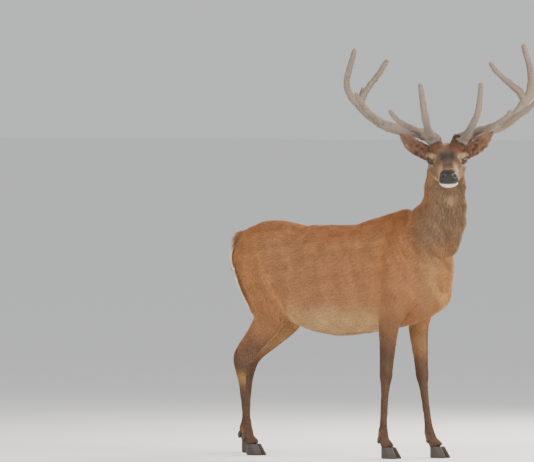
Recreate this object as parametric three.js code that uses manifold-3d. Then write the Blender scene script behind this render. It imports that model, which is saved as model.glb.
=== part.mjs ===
// Red deer stag, standing with its head turned to its right.
// Millimetres, +Z up, the trunk along +X (breast end), the animal's left side at +Y.
// Every fleshy form is a loft: rings placed along a spine by a few named stations.
import * as THREE from 'three';
import { mergeVertices } from 'three/addons/utils/BufferGeometryUtils.js';
import Module from 'manifold-3d';

const wasm = await Module();
wasm.setup();

// ---------------------------------------------------------------- driving sizes
const GAP = 0.3;                 // clear space left at every parting of the body
const FAR = 4000;                // reach of a parting block beyond the animal
const ARC = Math.PI / 180;

// how far each lower leg is carried forward of a plumb stance
const STRIDE = { fore: { right: -12, left: 155 }, hind: { right: -6, left: -97 }, hindShank: { right: 0, left: -86 } };
const FEET_OUT = { fore: 98, hind: 112 };
const CORONET = 56;              // height of the hoof's upper rim
// a claw narrows on its inner side and towards the toe, in shares of its width
const CLAW = { length: 92, width: 31, spread: 34, lean: 0.30, points: 9, inner: 0.72, toe: 0.35, corner: 0.8 };
const DEWCLAW = { length: 34, width: 21, depth: 19, height: 88, spread: 38, behind: 30 };
const CARPUS = 405;              // height of the front knee
const HOCK = 470;                // height of the point of the hock
const ELBOW_CUT = 634;           // the foreleg is parted from the chest here
const HAUNCH = { at: [-262, 690], tilt: 36, front: -215 };   // parting line of the haunch in the side view
const NECK_BASE = { at: [482, 1140], tilt: 52 };             // parting line of the neck in the side view
const THROAT = { at: [626, -48, 1352], tilt: 39 };           // parting plane of the head

const HEAD = { at: [615, -31, 1443], yaw: -57.5, pitch: 12.5, roll: 1.3 };
const EYE = { at: [152, 73, 20], radius: 20 };
const NOSE = { x: 368, lip: -33, lean: 16, width: 82, nostril: [393, 22, 0] };
const ANTLER_FRAME = { at: [637, -52, -8], yaw: -58 };
const ANTLER_FORK = 300;         // the beam is parted here, at the trez tine
const TIP = [[0.55, 0.80], [0.9, 0.36]];   // rounded end of a tine: reach and radius as shares of its last radius

const COLOURS = {
  coat: 0x9a6a45, neck: 0x86694f, leg: 0x6f5643, face: 0x7d6350,
  ear: 0x9b7358, velvet: 0x7d6f63, horn: 0x2e2723, nose: 0x1d1a1a, eye: 0x1a100c, tail: 0xb08a5e,
};

// ---------------------------------------------------------------- lofting
/** Interpolates rows of numbers with a Catmull-Rom spline at position t (row units). */
function rowAt(rows, t) {
  const i = Math.min(Math.floor(t), rows.length - 2);
  const f = t - i;
  const pick = (k) => rows[Math.max(0, Math.min(rows.length - 1, k))];
  const [a, b, c, d] = [pick(i - 1), pick(i), pick(i + 1), pick(i + 2)];
  return b.map((_, j) => 0.5 * ((2 * b[j]) + (c[j] - a[j]) * f
    + (2 * a[j] - 5 * b[j] + 4 * c[j] - d[j]) * f * f
    + (3 * b[j] - a[j] - 3 * c[j] + d[j]) * f * f * f));
}

/** A point of a closed section: superellipse with its own reach up, down and to each side. */
function sectionPoint(angle, side, up, down, power) {
  const c = Math.cos(angle);
  const s = Math.sin(angle);
  const bend = (v) => Math.sign(v) * Math.abs(v) ** (2 / power);
  return [side * bend(c), (s > 0 ? up : down) * bend(s)];
}

/** Closes a stack of rings with a fan at each end; faces are turned outwards. */
function ringsToGeometry(rings) {
  const n = rings[0].length;
  const points = rings.flat();
  const ends = [rings[0], rings[rings.length - 1]].map((ring) => ring
    .reduce((sum, p) => sum.add(p), new THREE.Vector3()).divideScalar(n));
  const faces = [];
  for (let r = 0; r + 1 < rings.length; r += 1) {
    for (let k = 0; k < n; k += 1) {
      const [a, b] = [r * n + k, r * n + (k + 1) % n];
      faces.push(a, b, b + n, a, b + n, a + n);
    }
  }
  const last = (rings.length - 1) * n;
  for (let k = 0; k < n; k += 1) {
    faces.push(points.length, (k + 1) % n, k);
    faces.push(points.length + 1, last + k, last + (k + 1) % n);
  }
  const all = [...points, ...ends];
  let volume = 0;
  for (let f = 0; f < faces.length; f += 3) {
    volume += all[faces[f]].dot(new THREE.Vector3().crossVectors(all[faces[f + 1]], all[faces[f + 2]]));
  }
  if (volume < 0) faces.reverse();
  const geometry = new THREE.BufferGeometry();
  geometry.setAttribute('position', new THREE.Float32BufferAttribute(all.flatMap((p) => p.toArray()), 3));
  geometry.setIndex(faces);
  return geometry;
}

/**
 * Lofts a closed form. Each row is [x, y, z, side, up, down, power]: the spine point, the
 * half-widths across it, and how square the section is. `upward` sets which way "up" faces.
 */
function loft(rows, { rings, segments, upward = [0, 0, 1], grow = 0, twist = () => 0 }) {
  const up = new THREE.Vector3(...upward);
  const step = (rows.length - 1) / (rings - 1);
  const samples = Array.from({ length: rings }, (_, r) => rowAt(rows, r * step));
  const centres = samples.map((s) => new THREE.Vector3(s[0], s[1], s[2]));
  return ringsToGeometry(samples.map((s, r) => {
    const ahead = centres[Math.min(r + 1, rings - 1)];
    const along = ahead.clone().sub(centres[Math.max(r - 1, 0)]).normalize();
    const across = new THREE.Vector3().crossVectors(up, along).normalize();
    across.applyAxisAngle(along, twist(r / (rings - 1)) * ARC);
    const over = new THREE.Vector3().crossVectors(along, across);
    return Array.from({ length: segments }, (_, k) => {
      const [a, b] = sectionPoint(2 * Math.PI * k / segments, s[3] + grow, s[4] + grow, s[5] + grow, s[6] ?? 2);
      return centres[r].clone().addScaledVector(across, a).addScaledVector(over, b);
    });
  }));
}

// ---------------------------------------------------------------- solids
/** Turns a closed geometry into a solid for joining and cutting. */
function solid(geometry) {
  const bare = geometry.clone();
  bare.deleteAttribute('normal');
  bare.deleteAttribute('uv');
  const merged = mergeVertices(bare, 1e-4);
  return new wasm.Manifold(new wasm.Mesh({
    numProp: 3,
    vertProperties: new Float32Array(merged.attributes.position.array),
    triVerts: new Uint32Array(merged.index.array),
  }));
}

/** The largest body of a solid, as a three.js geometry. */
function geometryOf(body) {
  const parts = body.decompose();
  const biggest = parts.reduce((best, p) => (p.volume() > best.volume() ? p : best), parts[0]);
  const mesh = biggest.getMesh();
  const geometry = new THREE.BufferGeometry();
  geometry.setAttribute('position', new THREE.Float32BufferAttribute(mesh.vertProperties, 3));
  geometry.setIndex(new THREE.Uint32BufferAttribute(mesh.triVerts, 1));
  geometry.computeVertexNormals();
  return geometry;
}

/** A block between two corners, grown by g and then placed by a matrix where one is given. */
function block(low, high, g = 0, matrix = null) {
  const size = high.map((v, i) => v - low[i] + 2 * g);
  const geometry = new THREE.BoxGeometry(...size);
  geometry.translate(...high.map((v, i) => (v + low[i]) / 2));
  if (matrix) geometry.applyMatrix4(matrix);
  return solid(geometry);
}

const join = (list) => list.reduce((sum, item) => sum.add(item));

/** Placement of a frame set by a point and its yaw, pitch and roll in degrees. */
function placement({ at, yaw = 0, pitch = 0, roll = 0 }) {
  const turn = new THREE.Euler(roll * ARC, pitch * ARC, yaw * ARC, 'ZYX');
  return new THREE.Matrix4().makeRotationFromEuler(turn).setPosition(...at);
}

const headPlace = placement(HEAD);
const antlerPlace = placement(ANTLER_FRAME);
const inHead = (geometry) => geometry.clone().applyMatrix4(headPlace);
const inAntlers = (geometry) => geometry.clone().applyMatrix4(antlerPlace);

const SIDES = { right: -1, left: 1 };
const both = (make) => Object.values(SIDES).map(make);

// ---------------------------------------------------------------- trunk
/** Barrel, rump and breast. Rows: x, top, bottom, half width, height of the widest part, power. */
function trunkForm(grow = 0) {
  const rows = [
    [-577, 1002, 900, 44, 958, 2.0],
    [-566, 1046, 862, 92, 960, 2.0],
    [-520, 1094, 808, 137, 960, 2.1],
    [-446, 1128, 750, 164, 955, 2.1],
    [-350, 1142, 690, 178, 945, 2.1],
    [-240, 1138, 655, 188, 890, 2.1],
    [-120, 1124, 603, 203, 850, 2.1],
    [20, 1120, 580, 210, 840, 2.1],
    [150, 1129, 595, 203, 840, 2.1],
    [260, 1160, 612, 186, 860, 2.0],
    [345, 1186, 626, 170, 870, 1.9],
    [436, 1198, 655, 160, 880, 1.9],
    [510, 1150, 690, 140, 890, 1.9],
    [568, 1080, 742, 110, 900, 2.0],
    [596, 1016, 796, 74, 900, 2.0],
    [610, 960, 842, 40, 900, 2.0],
    [617, 918, 882, 12, 900, 2.0],
  ].map(([x, top, bottom, side, mid, power]) => [x, 0, mid, side, top - mid, mid - bottom, power]);
  return loft(rows, { rings: 19, segments: 18, grow });
}

/** Neck: its sections turn from the trunk's line towards the head's as it rises. */
function neckForm() {
  const rows = [
    [440, 0, 960, 130, 150, 140, 2.1],
    [505, 0, 1050, 128, 165, 138, 2.1],
    [555, -2, 1140, 106, 138, 133, 2.1],
    [583, -8, 1215, 89, 112, 112, 2.1],
    [596, -14, 1286, 80, 103, 100, 2.1],
    [606, -21, 1350, 75, 96, 93, 2.1],
    [613, -28, 1410, 71, 86, 80, 2.1],
    [615, -31, 1456, 64, 66, 62, 2.1],
  ];
  return loft(rows, { rings: 11, segments: 16, upward: [-1, 0, 0], twist: (t) => 48 * t * t });
}

function tailForm() {
  const rows = [
    [-520, 0, 1068, 28, 22, 24],
    [-560, 0, 1056, 27, 19, 21],
    [-586, -2, 1018, 26, 17, 19],
    [-597, -6, 962, 22, 14, 17],
    [-596, -9, 912, 14, 9, 11],
    [-594, -10, 884, 4, 3, 3],
  ];
  return loft(rows, { rings: 8, segments: 8, upward: [-1, 0, 0.4] });
}

// ---------------------------------------------------------------- legs
/** 0 above the height `start`, growing to 1 at the height `end`. */
const below = (start, end, z) => THREE.MathUtils.clamp((start - z) / (start - end), 0, 1);

/** Foreleg from the shoulder blade to the coronet. */
function foreleg(side, grow = 0) {
  const s = SIDES[side];
  const stride = STRIDE.fore[side];
  const y = FEET_OUT.fore;
  const rows = [
    // x, y, z, side, front, back
    [404, 70, 1146, 10, 20, 20],
    [402, 84, 1100, 34, 58, 60],
    [398, 108, 1015, 57, 90, 94],
    [400, 116, 900, 66, 104, 112],
    [392, 116, 790, 64, 92, 104],
    [366, 112, 700, 52, 68, 80],
    [348, 110, 640, 43, 56, 62],
    [338, y + 6, 570, 36, 50, 50],
    [332, y + 4, 490, 31, 43, 42],
    [328, y + 2, 430, 32, 37, 38],
    [326, y, CARPUS - 12, 31, 35, 37],
    [324, y, 345, 24, 25, 29],
    [320, y, 270, 20, 21, 24],
    [316, y, 170, 20, 21, 24],
    [316, y, 118, 25, 26, 33],
    [322, y, 88, 26, 26, 30],
    [333, y, 66, 29, 33, 31],
    [337, y, CORONET - 3, 32, 42, 34],
  ];
  const moved = rows.map(([x, sideY, z, side, front, back]) => {
    return [x + stride * below(800, 0, z), s * sideY, z, side, front, back];
  });
  return loft(moved, { rings: 19, segments: 9, upward: [1, 0, 0], grow });
}

/** Hind leg from the croup to the coronet: the stride moves the hock, and the shank what is below it. */
function hindleg(side, grow = 0) {
  const s = SIDES[side];
  const swing = STRIDE.hind[side];
  const shank = STRIDE.hindShank[side];
  const y = FEET_OUT.hind;
  const rows = [
    [-440, 62, 1090, 14, 28, 28],
    [-438, 76, 1048, 50, 72, 70],
    [-430, 98, 980, 84, 128, 120],
    [-408, 110, 880, 90, 150, 114],
    [-368, 118, 790, 84, 134, 104],
    [-326, 122, 715, 74, 104, 102],
    [-330, 124, 648, 60, 80, 84],
    [-384, 122, 574, 47, 64, 66],
    [-440, 118, 508, 38, 52, 62],
    [-472, y + 2, 462, 34, 47, 58],
    [-478, y, 415, 31, 40, 42],
    [-474, y, 350, 24, 29, 27],
    [-464, y, 260, 21, 25, 23],
    [-452, y, 165, 21, 25, 24],
    [-447, y, 118, 26, 29, 34],
    [-438, y, 88, 26, 27, 31],
    [-426, y, 66, 29, 34, 31],
    [-421, y, CORONET - 3, 32, 42, 34],
  ];
  const moved = rows.map(([x, sideY, z, side, front, back]) => {
    return [x + swing * below(820, 490, z) + shank * below(HOCK, 0, z), s * sideY, z, side, front, back];
  });
  return loft(moved, { rings: 19, segments: 9, upward: [1, 0, 0], grow });
}

/** One claw of a hoof: flat sole, sloping front wall, rounded toe. */
function claw(inner) {
  const outline = (height, reach, width) => Array.from({ length: CLAW.points }, (_, k) => {
    const angle = 2 * Math.PI * k / CLAW.points;
    const x = Math.cos(angle) * reach + (Math.cos(angle) > 0 ? 0 : 2);
    const round = Math.sign(Math.sin(angle)) * Math.abs(Math.sin(angle)) ** CLAW.corner * width;
    const flat = Math.sign(Math.sin(angle)) === inner ? CLAW.inner : 1;
    const toe = 1 - CLAW.toe * Math.max(0, Math.cos(angle)) ** 2;
    return new THREE.Vector3(x + (CORONET - height) * CLAW.lean, round * flat * toe, height);
  });
  return ringsToGeometry([
    outline(0, CLAW.length / 2 - 5, CLAW.width / 2 - 1.5),
    outline(5, CLAW.length / 2, CLAW.width / 2),
    outline(CORONET - 8, CLAW.length / 2 - 13, CLAW.width / 2 - 1),
    outline(CORONET - GAP, CLAW.length / 2 - 16, CLAW.width / 2 - 2),
  ]);
}

/** Dewclaw: a blunt cone hanging behind the fetlock. */
function dewclaw() {
  const { length, width, depth } = DEWCLAW;
  return loft([
    [0, 0, length * 0.5, width * 0.38, depth * 0.4, depth * 0.4],
    [-3, 0, length * 0.2, width * 0.5, depth * 0.5, depth * 0.5],
    [-6, 0, -length * 0.25, width * 0.42, depth * 0.42, depth * 0.42],
    [-7, 0, -length * 0.5, width * 0.16, depth * 0.16, depth * 0.16],
  ], { rings: 4, segments: 5, upward: [1, 0, 0] });
}

// ---------------------------------------------------------------- head
/** Skull, cheeks and muzzle in the head's frame. Rows: x, top, bottom, half width, widest height, power. */
function headForm(grow = 0) {
  const rows = [
    [-62, 34, -52, 40, 0, 2.0],
    [-40, 56, -78, 60, 0, 2.0],
    [0, 68, -96, 72, 2, 2.1],
    [48, 72, -106, 84, 4, 2.3],
    [98, 72, -104, 90, 4, 2.3],
    [145, 68, -94, 88, 8, 2.3],
    [185, 58, -84, 72, 2, 2.2],
    [235, 47, -76, 57, -10, 2.2],
    [285, 38, -71, 50, -20, 2.2],
    [330, 33, -68, 49, -24, 2.3],
    [362, 29, -65, 48, -20, 2.4],
    [384, 21, -56, 43, -14, 2.4],
    [398, 3, -38, 29, -14, 2.4],
  ].map(([x, top, bottom, side, mid, power]) => [x, 0, mid, side, top - mid, mid - bottom, power]);
  return loft(rows, { rings: 18, segments: 16, grow });
}

/** Pedicle: the bony stump under each antler. */
function pedicle(s, grow = 0) {
  return loft([
    [66, s * 36, 34, 40, 40, 40],
    [60, s * 50, 74, 32, 32, 32],
    [50, s * 65, 112, 27, 27, 27],
  ], { rings: 3, segments: 8, upward: [1, 0, 0], grow });
}

/** Brow ridge over each eye, running into the cheek. */
function browRidge(s, grow = 0) {
  return loft([
    [50, s * 80, 22, 13, 14, 14],
    [86, s * 85, 28, 17, 17, 17],
    [120, s * 83, 35, 19, 18, 19],
    [150, s * 79, 39, 19, 15, 17],
    [182, s * 66, 28, 16, 14, 16],
    [208, s * 50, 14, 10, 10, 10],
  ], { rings: 6, segments: 5, grow });
}

/** Ear: a cupped leaf, thick at its root, open to the front. */
function ear(s) {
  const spine = [
    // x, y, z, half width, thickness, cupping depth
    [34, 60, 14, 32, 28, 10],
    [42, 88, 29, 37, 23, 15],
    [53, 116, 49, 40, 13, 19],
    [66, 146, 68, 41, 8, 18],
    [74, 177, 93, 37, 7, 13],
    [76, 203, 117, 24, 6, 7],
    [75, 221, 135, 5, 5, 2],
  ];
  const samples = Array.from({ length: 9 }, (_, r) => rowAt(spine, r * (spine.length - 1) / 8));
  const half = 5;
  const along = new THREE.Vector3(-0.18, s * 0.88, 0.44).normalize();
  const open = new THREE.Vector3(0.92, s * 0.22, -0.08).normalize();
  const wide = new THREE.Vector3().crossVectors(along, open).multiplyScalar(s).normalize();
  return ringsToGeometry(samples.map(([x, y, z, width, thick, cup]) => {
    const centre = new THREE.Vector3(x, s * y, z);
    const rimPoint = (k, back) => {
      const t = 2 * k / half - 1;
      const rim = Math.sqrt(Math.max(0, 1 - t ** 6));
      const forward = cup * (t * t - 0.5) - (back ? thick * rim : 0);
      return centre.clone().addScaledVector(wide, width * t).addScaledVector(open, forward);
    };
    const front = Array.from({ length: half + 1 }, (_, k) => rimPoint(k, false));
    const rear = Array.from({ length: half - 1 }, (_, k) => rimPoint(half - 1 - k, true));
    return [...front, ...rear];
  }));
}

// ---------------------------------------------------------------- antlers
/** A beam or tine from rows of [forward, left, height, radius]; the tip is blunt. */
function horn(rows, { rings = 7, segments = 6, grow = 0 } = {}) {
  const tip = rows[rows.length - 1];
  const before = rows[rows.length - 2];
  const end = new THREE.Vector3(...tip);
  const way = end.clone().sub(new THREE.Vector3(...before)).normalize();
  const caps = TIP.map(([reach, radius]) => [...end.clone().addScaledVector(way, reach * tip[3]).toArray(), radius * tip[3]]);
  const full = [...rows, ...caps];
  return inAntlers(loft(full.map(([x, y, z, r]) => [x, y, z, r, r, r]), { rings, segments, upward: [1, 0, 0.2], grow }));
}

// Rows: forward of the poll, to the left, height above the ground, radius.
const RIGHT_ANTLER = {
  beam: [
    [46, -62, 1516, 32], [41, -72, 1536, 34], [27, -104, 1556, 27], [-12, -160, 1570, 26], [-48, -223, 1581, 26],
    [-72, -282, 1596, 25], [-104, -330, 1620, 24], [-132, -374, 1652, 23], [-150, -410, 1690, 24],
    [-156, -432, 1716, 22],
  ],
  brow: [[44, -76, 1545, 22], [92, -92, 1572, 20], [142, -108, 1622, 18], [172, -120, 1690, 16], [184, -131, 1755, 14],
    [186, -137, 1791, 12]],
  bez: [[18, -120, 1562, 18], [48, -152, 1580, 16], [84, -196, 1600, 15], [112, -240, 1626, 13], [124, -268, 1656, 12],
    [127, -277, 1671, 10]],
  trez: [[-96, -312, 1612, 19], [-62, -344, 1636, 17], [-28, -382, 1668, 15], [2, -412, 1706, 13], [18, -431, 1736, 11],
    [22, -437, 1752, 9]],
  outer: [[-152, -424, 1702, 21], [-152, -452, 1728, 18], [-144, -476, 1770, 17], [-130, -481, 1814, 16],
    [-112, -471, 1864, 15.5], [-96, -456, 1918, 14], [-88, -446, 1959, 12]],
  inner: [[-154, -416, 1706, 19], [-158, -400, 1748, 17], [-152, -368, 1797, 15], [-140, -327, 1851, 14.5],
    [-129, -292, 1907, 12]],
  back: [[-156, -424, 1704, 17], [-186, -416, 1732, 14], [-208, -408, 1760, 12], [-216, -405, 1776, 9]],
};

const LEFT_ANTLER = {
  beam: [
    [46, 58, 1516, 32], [41, 66, 1536, 34], [27, 98, 1555, 27], [-12, 150, 1572, 26], [-48, 205, 1585, 26],
    [-72, 256, 1601, 25], [-104, 302, 1630, 24], [-132, 338, 1668, 23], [-150, 366, 1706, 24],
    [-156, 380, 1734, 22],
  ],
  brow: [[44, 72, 1545, 22], [92, 92, 1566, 20], [142, 114, 1608, 18], [174, 136, 1660, 16], [188, 148, 1730, 14],
    [190, 150, 1795, 12]],
  bez: [[18, 112, 1562, 18], [48, 146, 1578, 16], [84, 186, 1590, 15], [114, 232, 1614, 13], [128, 272, 1642, 12],
    [132, 291, 1670, 10]],
  trez: [[-64, 244, 1598, 19], [-34, 290, 1620, 17], [-4, 342, 1654, 16], [22, 392, 1690, 13], [38, 424, 1724, 11],
    [42, 433, 1744, 9]],
  outer: [[-152, 372, 1720, 21], [-152, 386, 1746, 18], [-144, 397, 1790, 17], [-130, 398, 1836, 16],
    [-112, 390, 1890, 15], [-96, 374, 1941, 14], [-89, 364, 1981, 12]],
  inner: [[-152, 372, 1716, 20], [-158, 346, 1762, 19], [-152, 312, 1792, 17], [-140, 270, 1826, 14],
    [-130, 234, 1860, 13], [-124, 208, 1895, 11]],
  back: [[-156, 376, 1718, 18], [-180, 404, 1752, 16], [-196, 430, 1800, 14], [-200, 436, 1842, 12],
    [-200, 434, 1862, 10]],
};

// ---------------------------------------------------------------- assembly
const group = new THREE.Group();
group.name = 'red_deer_stag';

/** Adds one named mesh with its own material. */
function addPart(name, geometry, colour, roughness = 0.85) {
  const material = new THREE.MeshStandardMaterial({ color: colour, roughness, metalness: 0 });
  const mesh = new THREE.Mesh(geometry, material);
  mesh.name = name;
  group.add(mesh);
  return mesh;
}

const LEG_FORMS = { fore: foreleg, hind: hindleg };
const legs = Object.values(LEG_FORMS).flatMap((form) => Object.keys(SIDES).map((side) => solid(form(side))));

/** Head with its pedicles and brow ridges, grown by g all round. */
function skull(g = 0) {
  const forms = [headForm(g), ...both((s) => pedicle(s, g)), ...both((s) => browRidge(s, g))];
  return join(forms.map((form) => solid(inHead(form))));
}

const headBody = skull();
const headGrown = skull(2 * GAP);
const flesh = join([solid(trunkForm()), solid(neckForm()), headBody, ...legs]);

/** Everything below the line of the haunch, on one side of the midline. */
function haunchZone(s, g) {
  const [x, z] = HAUNCH.at;
  const tilt = new THREE.Matrix4().makeRotationY(HAUNCH.tilt * ARC).setPosition(x, 0, z);
  const underLine = block([-FAR, -FAR, -FAR], [FAR, FAR, 0], g, tilt);
  const half = s < 0 ? [-FAR, -GAP / 2] : [GAP / 2, FAR];
  return block([-FAR, half[0], -FAR], [HAUNCH.front, half[1], FAR], g).intersect(underLine);
}

/** Block round one foreleg below the chest. */
function forelegZone(s, g) {
  return block([150, s < 0 ? -FAR : 26, -FAR], [700, s < 0 ? -26 : FAR, ELBOW_CUT], g);
}

/** Half-space in front of the shoulder line. */
function neckZone(g) {
  const [x, z] = NECK_BASE.at;
  const lean = new THREE.Matrix4().makeRotationY(-NECK_BASE.tilt * ARC).setPosition(x, 0, z);
  return block([0, -FAR, -FAR], [FAR, FAR, FAR], g, lean);
}

/** Half-space over the throat, dropping forwards under the jaw. */
function headZone(g) {
  const place = placement({ at: THROAT.at, yaw: HEAD.yaw, pitch: THROAT.tilt });
  return block([-FAR, -FAR, 0], [FAR, FAR, FAR], g, place);
}

/** Block over the nose pad in the head's frame. */
function noseZone(g) {
  const lean = new THREE.Matrix4().makeRotationY(-NOSE.lean * ARC).setPosition(NOSE.x, 0, NOSE.lip);
  return block([0, -NOSE.width / 2, 0], [FAR, NOSE.width / 2, FAR], g, headPlace.clone().multiply(lean));
}

const torso = flesh.subtract(neckZone(GAP));
const front = flesh.intersect(neckZone(0));

addPart('trunk', geometryOf(both((s) => haunchZone(s, GAP).add(forelegZone(s, GAP)))
  .reduce((rest, zone) => rest.subtract(zone), torso)), COLOURS.coat);
addPart('tail', geometryOf(solid(tailForm()).subtract(join([solid(trunkForm(2 * GAP)), ...legs]))), COLOURS.tail);
addPart('neck', geometryOf(front.subtract(headZone(GAP))), COLOURS.neck);

// legs, each parted at its main joint
const LEG_PARTS = {
  fore: { zone: forelegZone, cut: CARPUS, upper: 'forearm', lower: 'front_cannon' },
  hind: { zone: haunchZone, cut: HOCK - 55, upper: 'thigh', lower: 'hind_cannon' },
};
for (const { zone, cut, upper, lower } of Object.values(LEG_PARTS)) {
  for (const [side, s] of Object.entries(SIDES)) {
    const leg = torso.intersect(zone(s, 0));
    addPart(`${upper}_${side}`, geometryOf(leg.intersect(block([-FAR, -FAR, cut + GAP], [FAR, FAR, FAR]))), COLOURS.coat);
    addPart(`${lower}_${side}`, geometryOf(leg.intersect(block([-FAR, -FAR, CORONET], [FAR, FAR, cut]))), COLOURS.leg);
  }
}

// hooves: two claws under the end of each leg and two dewclaws behind its fetlock
const PASTERN_END = { fore: 337, hind: -421 };
for (const [pair, form] of Object.entries(LEG_FORMS)) {
  for (const [side, s] of Object.entries(SIDES)) {
    const shank = pair === 'hind' ? STRIDE.hindShank[side] * below(HOCK, 0, CORONET) : 0;
    const carried = pair === 'fore' ? STRIDE.fore[side] * below(800, 0, CORONET) : STRIDE.hind[side] + shank;
    const foot = new THREE.Group();
    foot.position.set(PASTERN_END[pair] + carried, s * FEET_OUT[pair], 0);
    group.add(foot);
    const leg = solid(form(side, GAP));
    for (const inner of [-1, 1]) {
      const where = inner * s < 0 ? 'outer' : 'inner';
      const toe = addPart(`claw_${pair}_${side}_${where}`, claw(inner), COLOURS.horn, 0.5);
      toe.position.set(6, -inner * CLAW.spread / 2, 0);
      toe.rotation.z = -inner * 3 * ARC;
      foot.add(toe);
      const spur = dewclaw().translate(foot.position.x - DEWCLAW.behind,
        foot.position.y - inner * DEWCLAW.spread / 2, DEWCLAW.height);
      addPart(`dewclaw_${pair}_${side}_${where}`, geometryOf(solid(spur).subtract(leg)), COLOURS.horn, 0.5);
    }
  }
}

// head, eyes, ears and nose
const ANTLERS = { right: RIGHT_ANTLER, left: LEFT_ANTLER };
const beamOf = (side, grow) => solid(horn(ANTLERS[side].beam, { rings: 12, segments: 8, grow }));
const eyeballs = both((s) => solid(inHead(
  new THREE.SphereGeometry(EYE.radius, 10, 7).translate(EYE.at[0], s * EYE.at[1], EYE.at[2]))));
const sockets = both((s) => solid(inHead(
  new THREE.SphereGeometry(EYE.radius + GAP, 10, 7).translate(EYE.at[0], s * EYE.at[1], EYE.at[2]))));
const nostrils = both((s) => solid(inHead(
  new THREE.SphereGeometry(1, 8, 5).scale(9, 6, 7).rotateZ(s * 0.5).translate(NOSE.nostril[0], s * NOSE.nostril[1],
    NOSE.nostril[2]))));
const headPart = front.intersect(headZone(0)).subtract(join(sockets));
addPart('head', geometryOf(headPart.subtract(noseZone(GAP))), COLOURS.face);
addPart('nose', geometryOf(headPart.intersect(noseZone(0)).subtract(join(nostrils))), COLOURS.nose, 0.4);
for (const [k, [side, s]] of Object.entries(SIDES).entries()) {
  addPart(`eye_${side}`, geometryOf(eyeballs[k]), COLOURS.eye, 0.1);
  const clear = join([headGrown, solid(neckForm()), beamOf(side, GAP)]);
  addPart(`ear_${side}`, geometryOf(solid(inHead(ear(s))).subtract(clear)), COLOURS.ear);
}

// antlers: the beam is cut to the pedicle, and each tine to what it grows from
for (const [side, rows] of Object.entries(ANTLERS)) {
  const s = SIDES[side];
  const near = s < 0 ? [[-FAR, -ANTLER_FORK, -FAR], [FAR, FAR, FAR]] : [[-FAR, -FAR, -FAR], [FAR, ANTLER_FORK, FAR]];
  const lowerZone = (g) => block(near[0], near[1], g, antlerPlace);
  const beam = beamOf(side, 0).subtract(headGrown);
  addPart(`antler_${side}_beam_lower`, geometryOf(beam.intersect(lowerZone(0))), COLOURS.velvet);
  addPart(`antler_${side}_beam_upper`, geometryOf(beam.subtract(lowerZone(GAP))), COLOURS.velvet);
  let grown = beamOf(side, GAP).add(headGrown);
  for (const tine of ['brow', 'bez', 'trez', 'outer', 'inner', 'back']) {
    addPart(`antler_${side}_${tine}`, geometryOf(solid(horn(rows[tine])).subtract(grown)), COLOURS.velvet);
    grown = grown.add(solid(horn(rows[tine], { grow: GAP })));
  }
}

// the origin is the middle of the animal's box, at the soles
const extent = new THREE.Box3().setFromObject(group);
const middle = extent.getCenter(new THREE.Vector3());
group.position.set(-middle.x, -middle.y, -extent.min.z);

export default group;
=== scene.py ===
"""Life-size red deer stag in summer coat: skin, coat, antlers in velvet, hooves and eyes."""

import logging
import math
from dataclasses import dataclass, field
from enum import Enum
from typing import Callable, Sequence

import bmesh
import bpy
import numpy as np
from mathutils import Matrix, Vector

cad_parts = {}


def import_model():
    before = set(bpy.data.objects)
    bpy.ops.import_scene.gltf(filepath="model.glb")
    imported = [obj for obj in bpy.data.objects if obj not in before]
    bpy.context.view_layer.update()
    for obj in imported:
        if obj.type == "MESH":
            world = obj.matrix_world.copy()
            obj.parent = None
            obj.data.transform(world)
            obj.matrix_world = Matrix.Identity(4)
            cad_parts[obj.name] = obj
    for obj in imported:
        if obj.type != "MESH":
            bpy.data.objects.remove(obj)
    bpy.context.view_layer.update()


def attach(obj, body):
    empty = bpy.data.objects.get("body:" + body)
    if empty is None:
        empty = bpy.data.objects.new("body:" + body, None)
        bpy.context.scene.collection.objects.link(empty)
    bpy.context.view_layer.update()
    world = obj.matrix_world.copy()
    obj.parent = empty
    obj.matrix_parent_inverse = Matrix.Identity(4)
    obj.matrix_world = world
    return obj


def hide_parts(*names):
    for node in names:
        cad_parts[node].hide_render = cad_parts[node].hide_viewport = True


logging.basicConfig(level=logging.INFO, format="%(message)s")
LOG = logging.getLogger("stag")

Array = np.ndarray
Rows = Sequence[Sequence[float]]

MM = 0.001                                        # shape numbers are millimetres, meshes are metres
ORIGIN = np.array([-196.3, 5.8, 0.0])             # from the trunk's frame to the middle of the animal's box
SIDES = {"right": -1, "left": 1}
SEED = 7
CHART_RIM = 0.01                                  # free rim round each form's chart in the unwrap


# ------------------------------------------------------------------ forms of the body
@dataclass(frozen=True)
class HeadPlace:
    """Where the head sits and how it is turned, in the trunk's frame."""

    at: tuple[float, float, float] = (615, -31, 1443)
    yaw: float = -57.5
    pitch: float = 12.5
    roll: float = 1.3

    def turn(self) -> Array:
        """Rotation from the head's frame to the trunk's."""
        z, y, x = (math.radians(v) for v in (self.yaw, self.pitch, self.roll))
        about_z = np.array([[math.cos(z), -math.sin(z), 0], [math.sin(z), math.cos(z), 0], [0, 0, 1]])
        about_y = np.array([[math.cos(y), 0, math.sin(y)], [0, 1, 0], [-math.sin(y), 0, math.cos(y)]])
        about_x = np.array([[1, 0, 0], [0, math.cos(x), -math.sin(x)], [0, math.sin(x), math.cos(x)]])
        return about_z @ about_y @ about_x

    def out(self, points: Array) -> Array:
        """Points of the head's frame in the trunk's frame."""
        return points @ self.turn().T + np.array(self.at)

    def into(self, points: Array) -> Array:
        """Points of the trunk's frame in the head's frame."""
        return (points - np.array(self.at)) @ self.turn()


HEAD = HeadPlace()
ANTLER_PLACE = HeadPlace(at=(637, -52, -8), yaw=-58, pitch=0, roll=0)
EYE_AT = np.array([152.0, 73.0, 20.0])
EYE_RADIUS = 20.0
EYE_LOOK = np.array([0.60, 0.80, 0.06])
CORONET = 56.0

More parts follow.
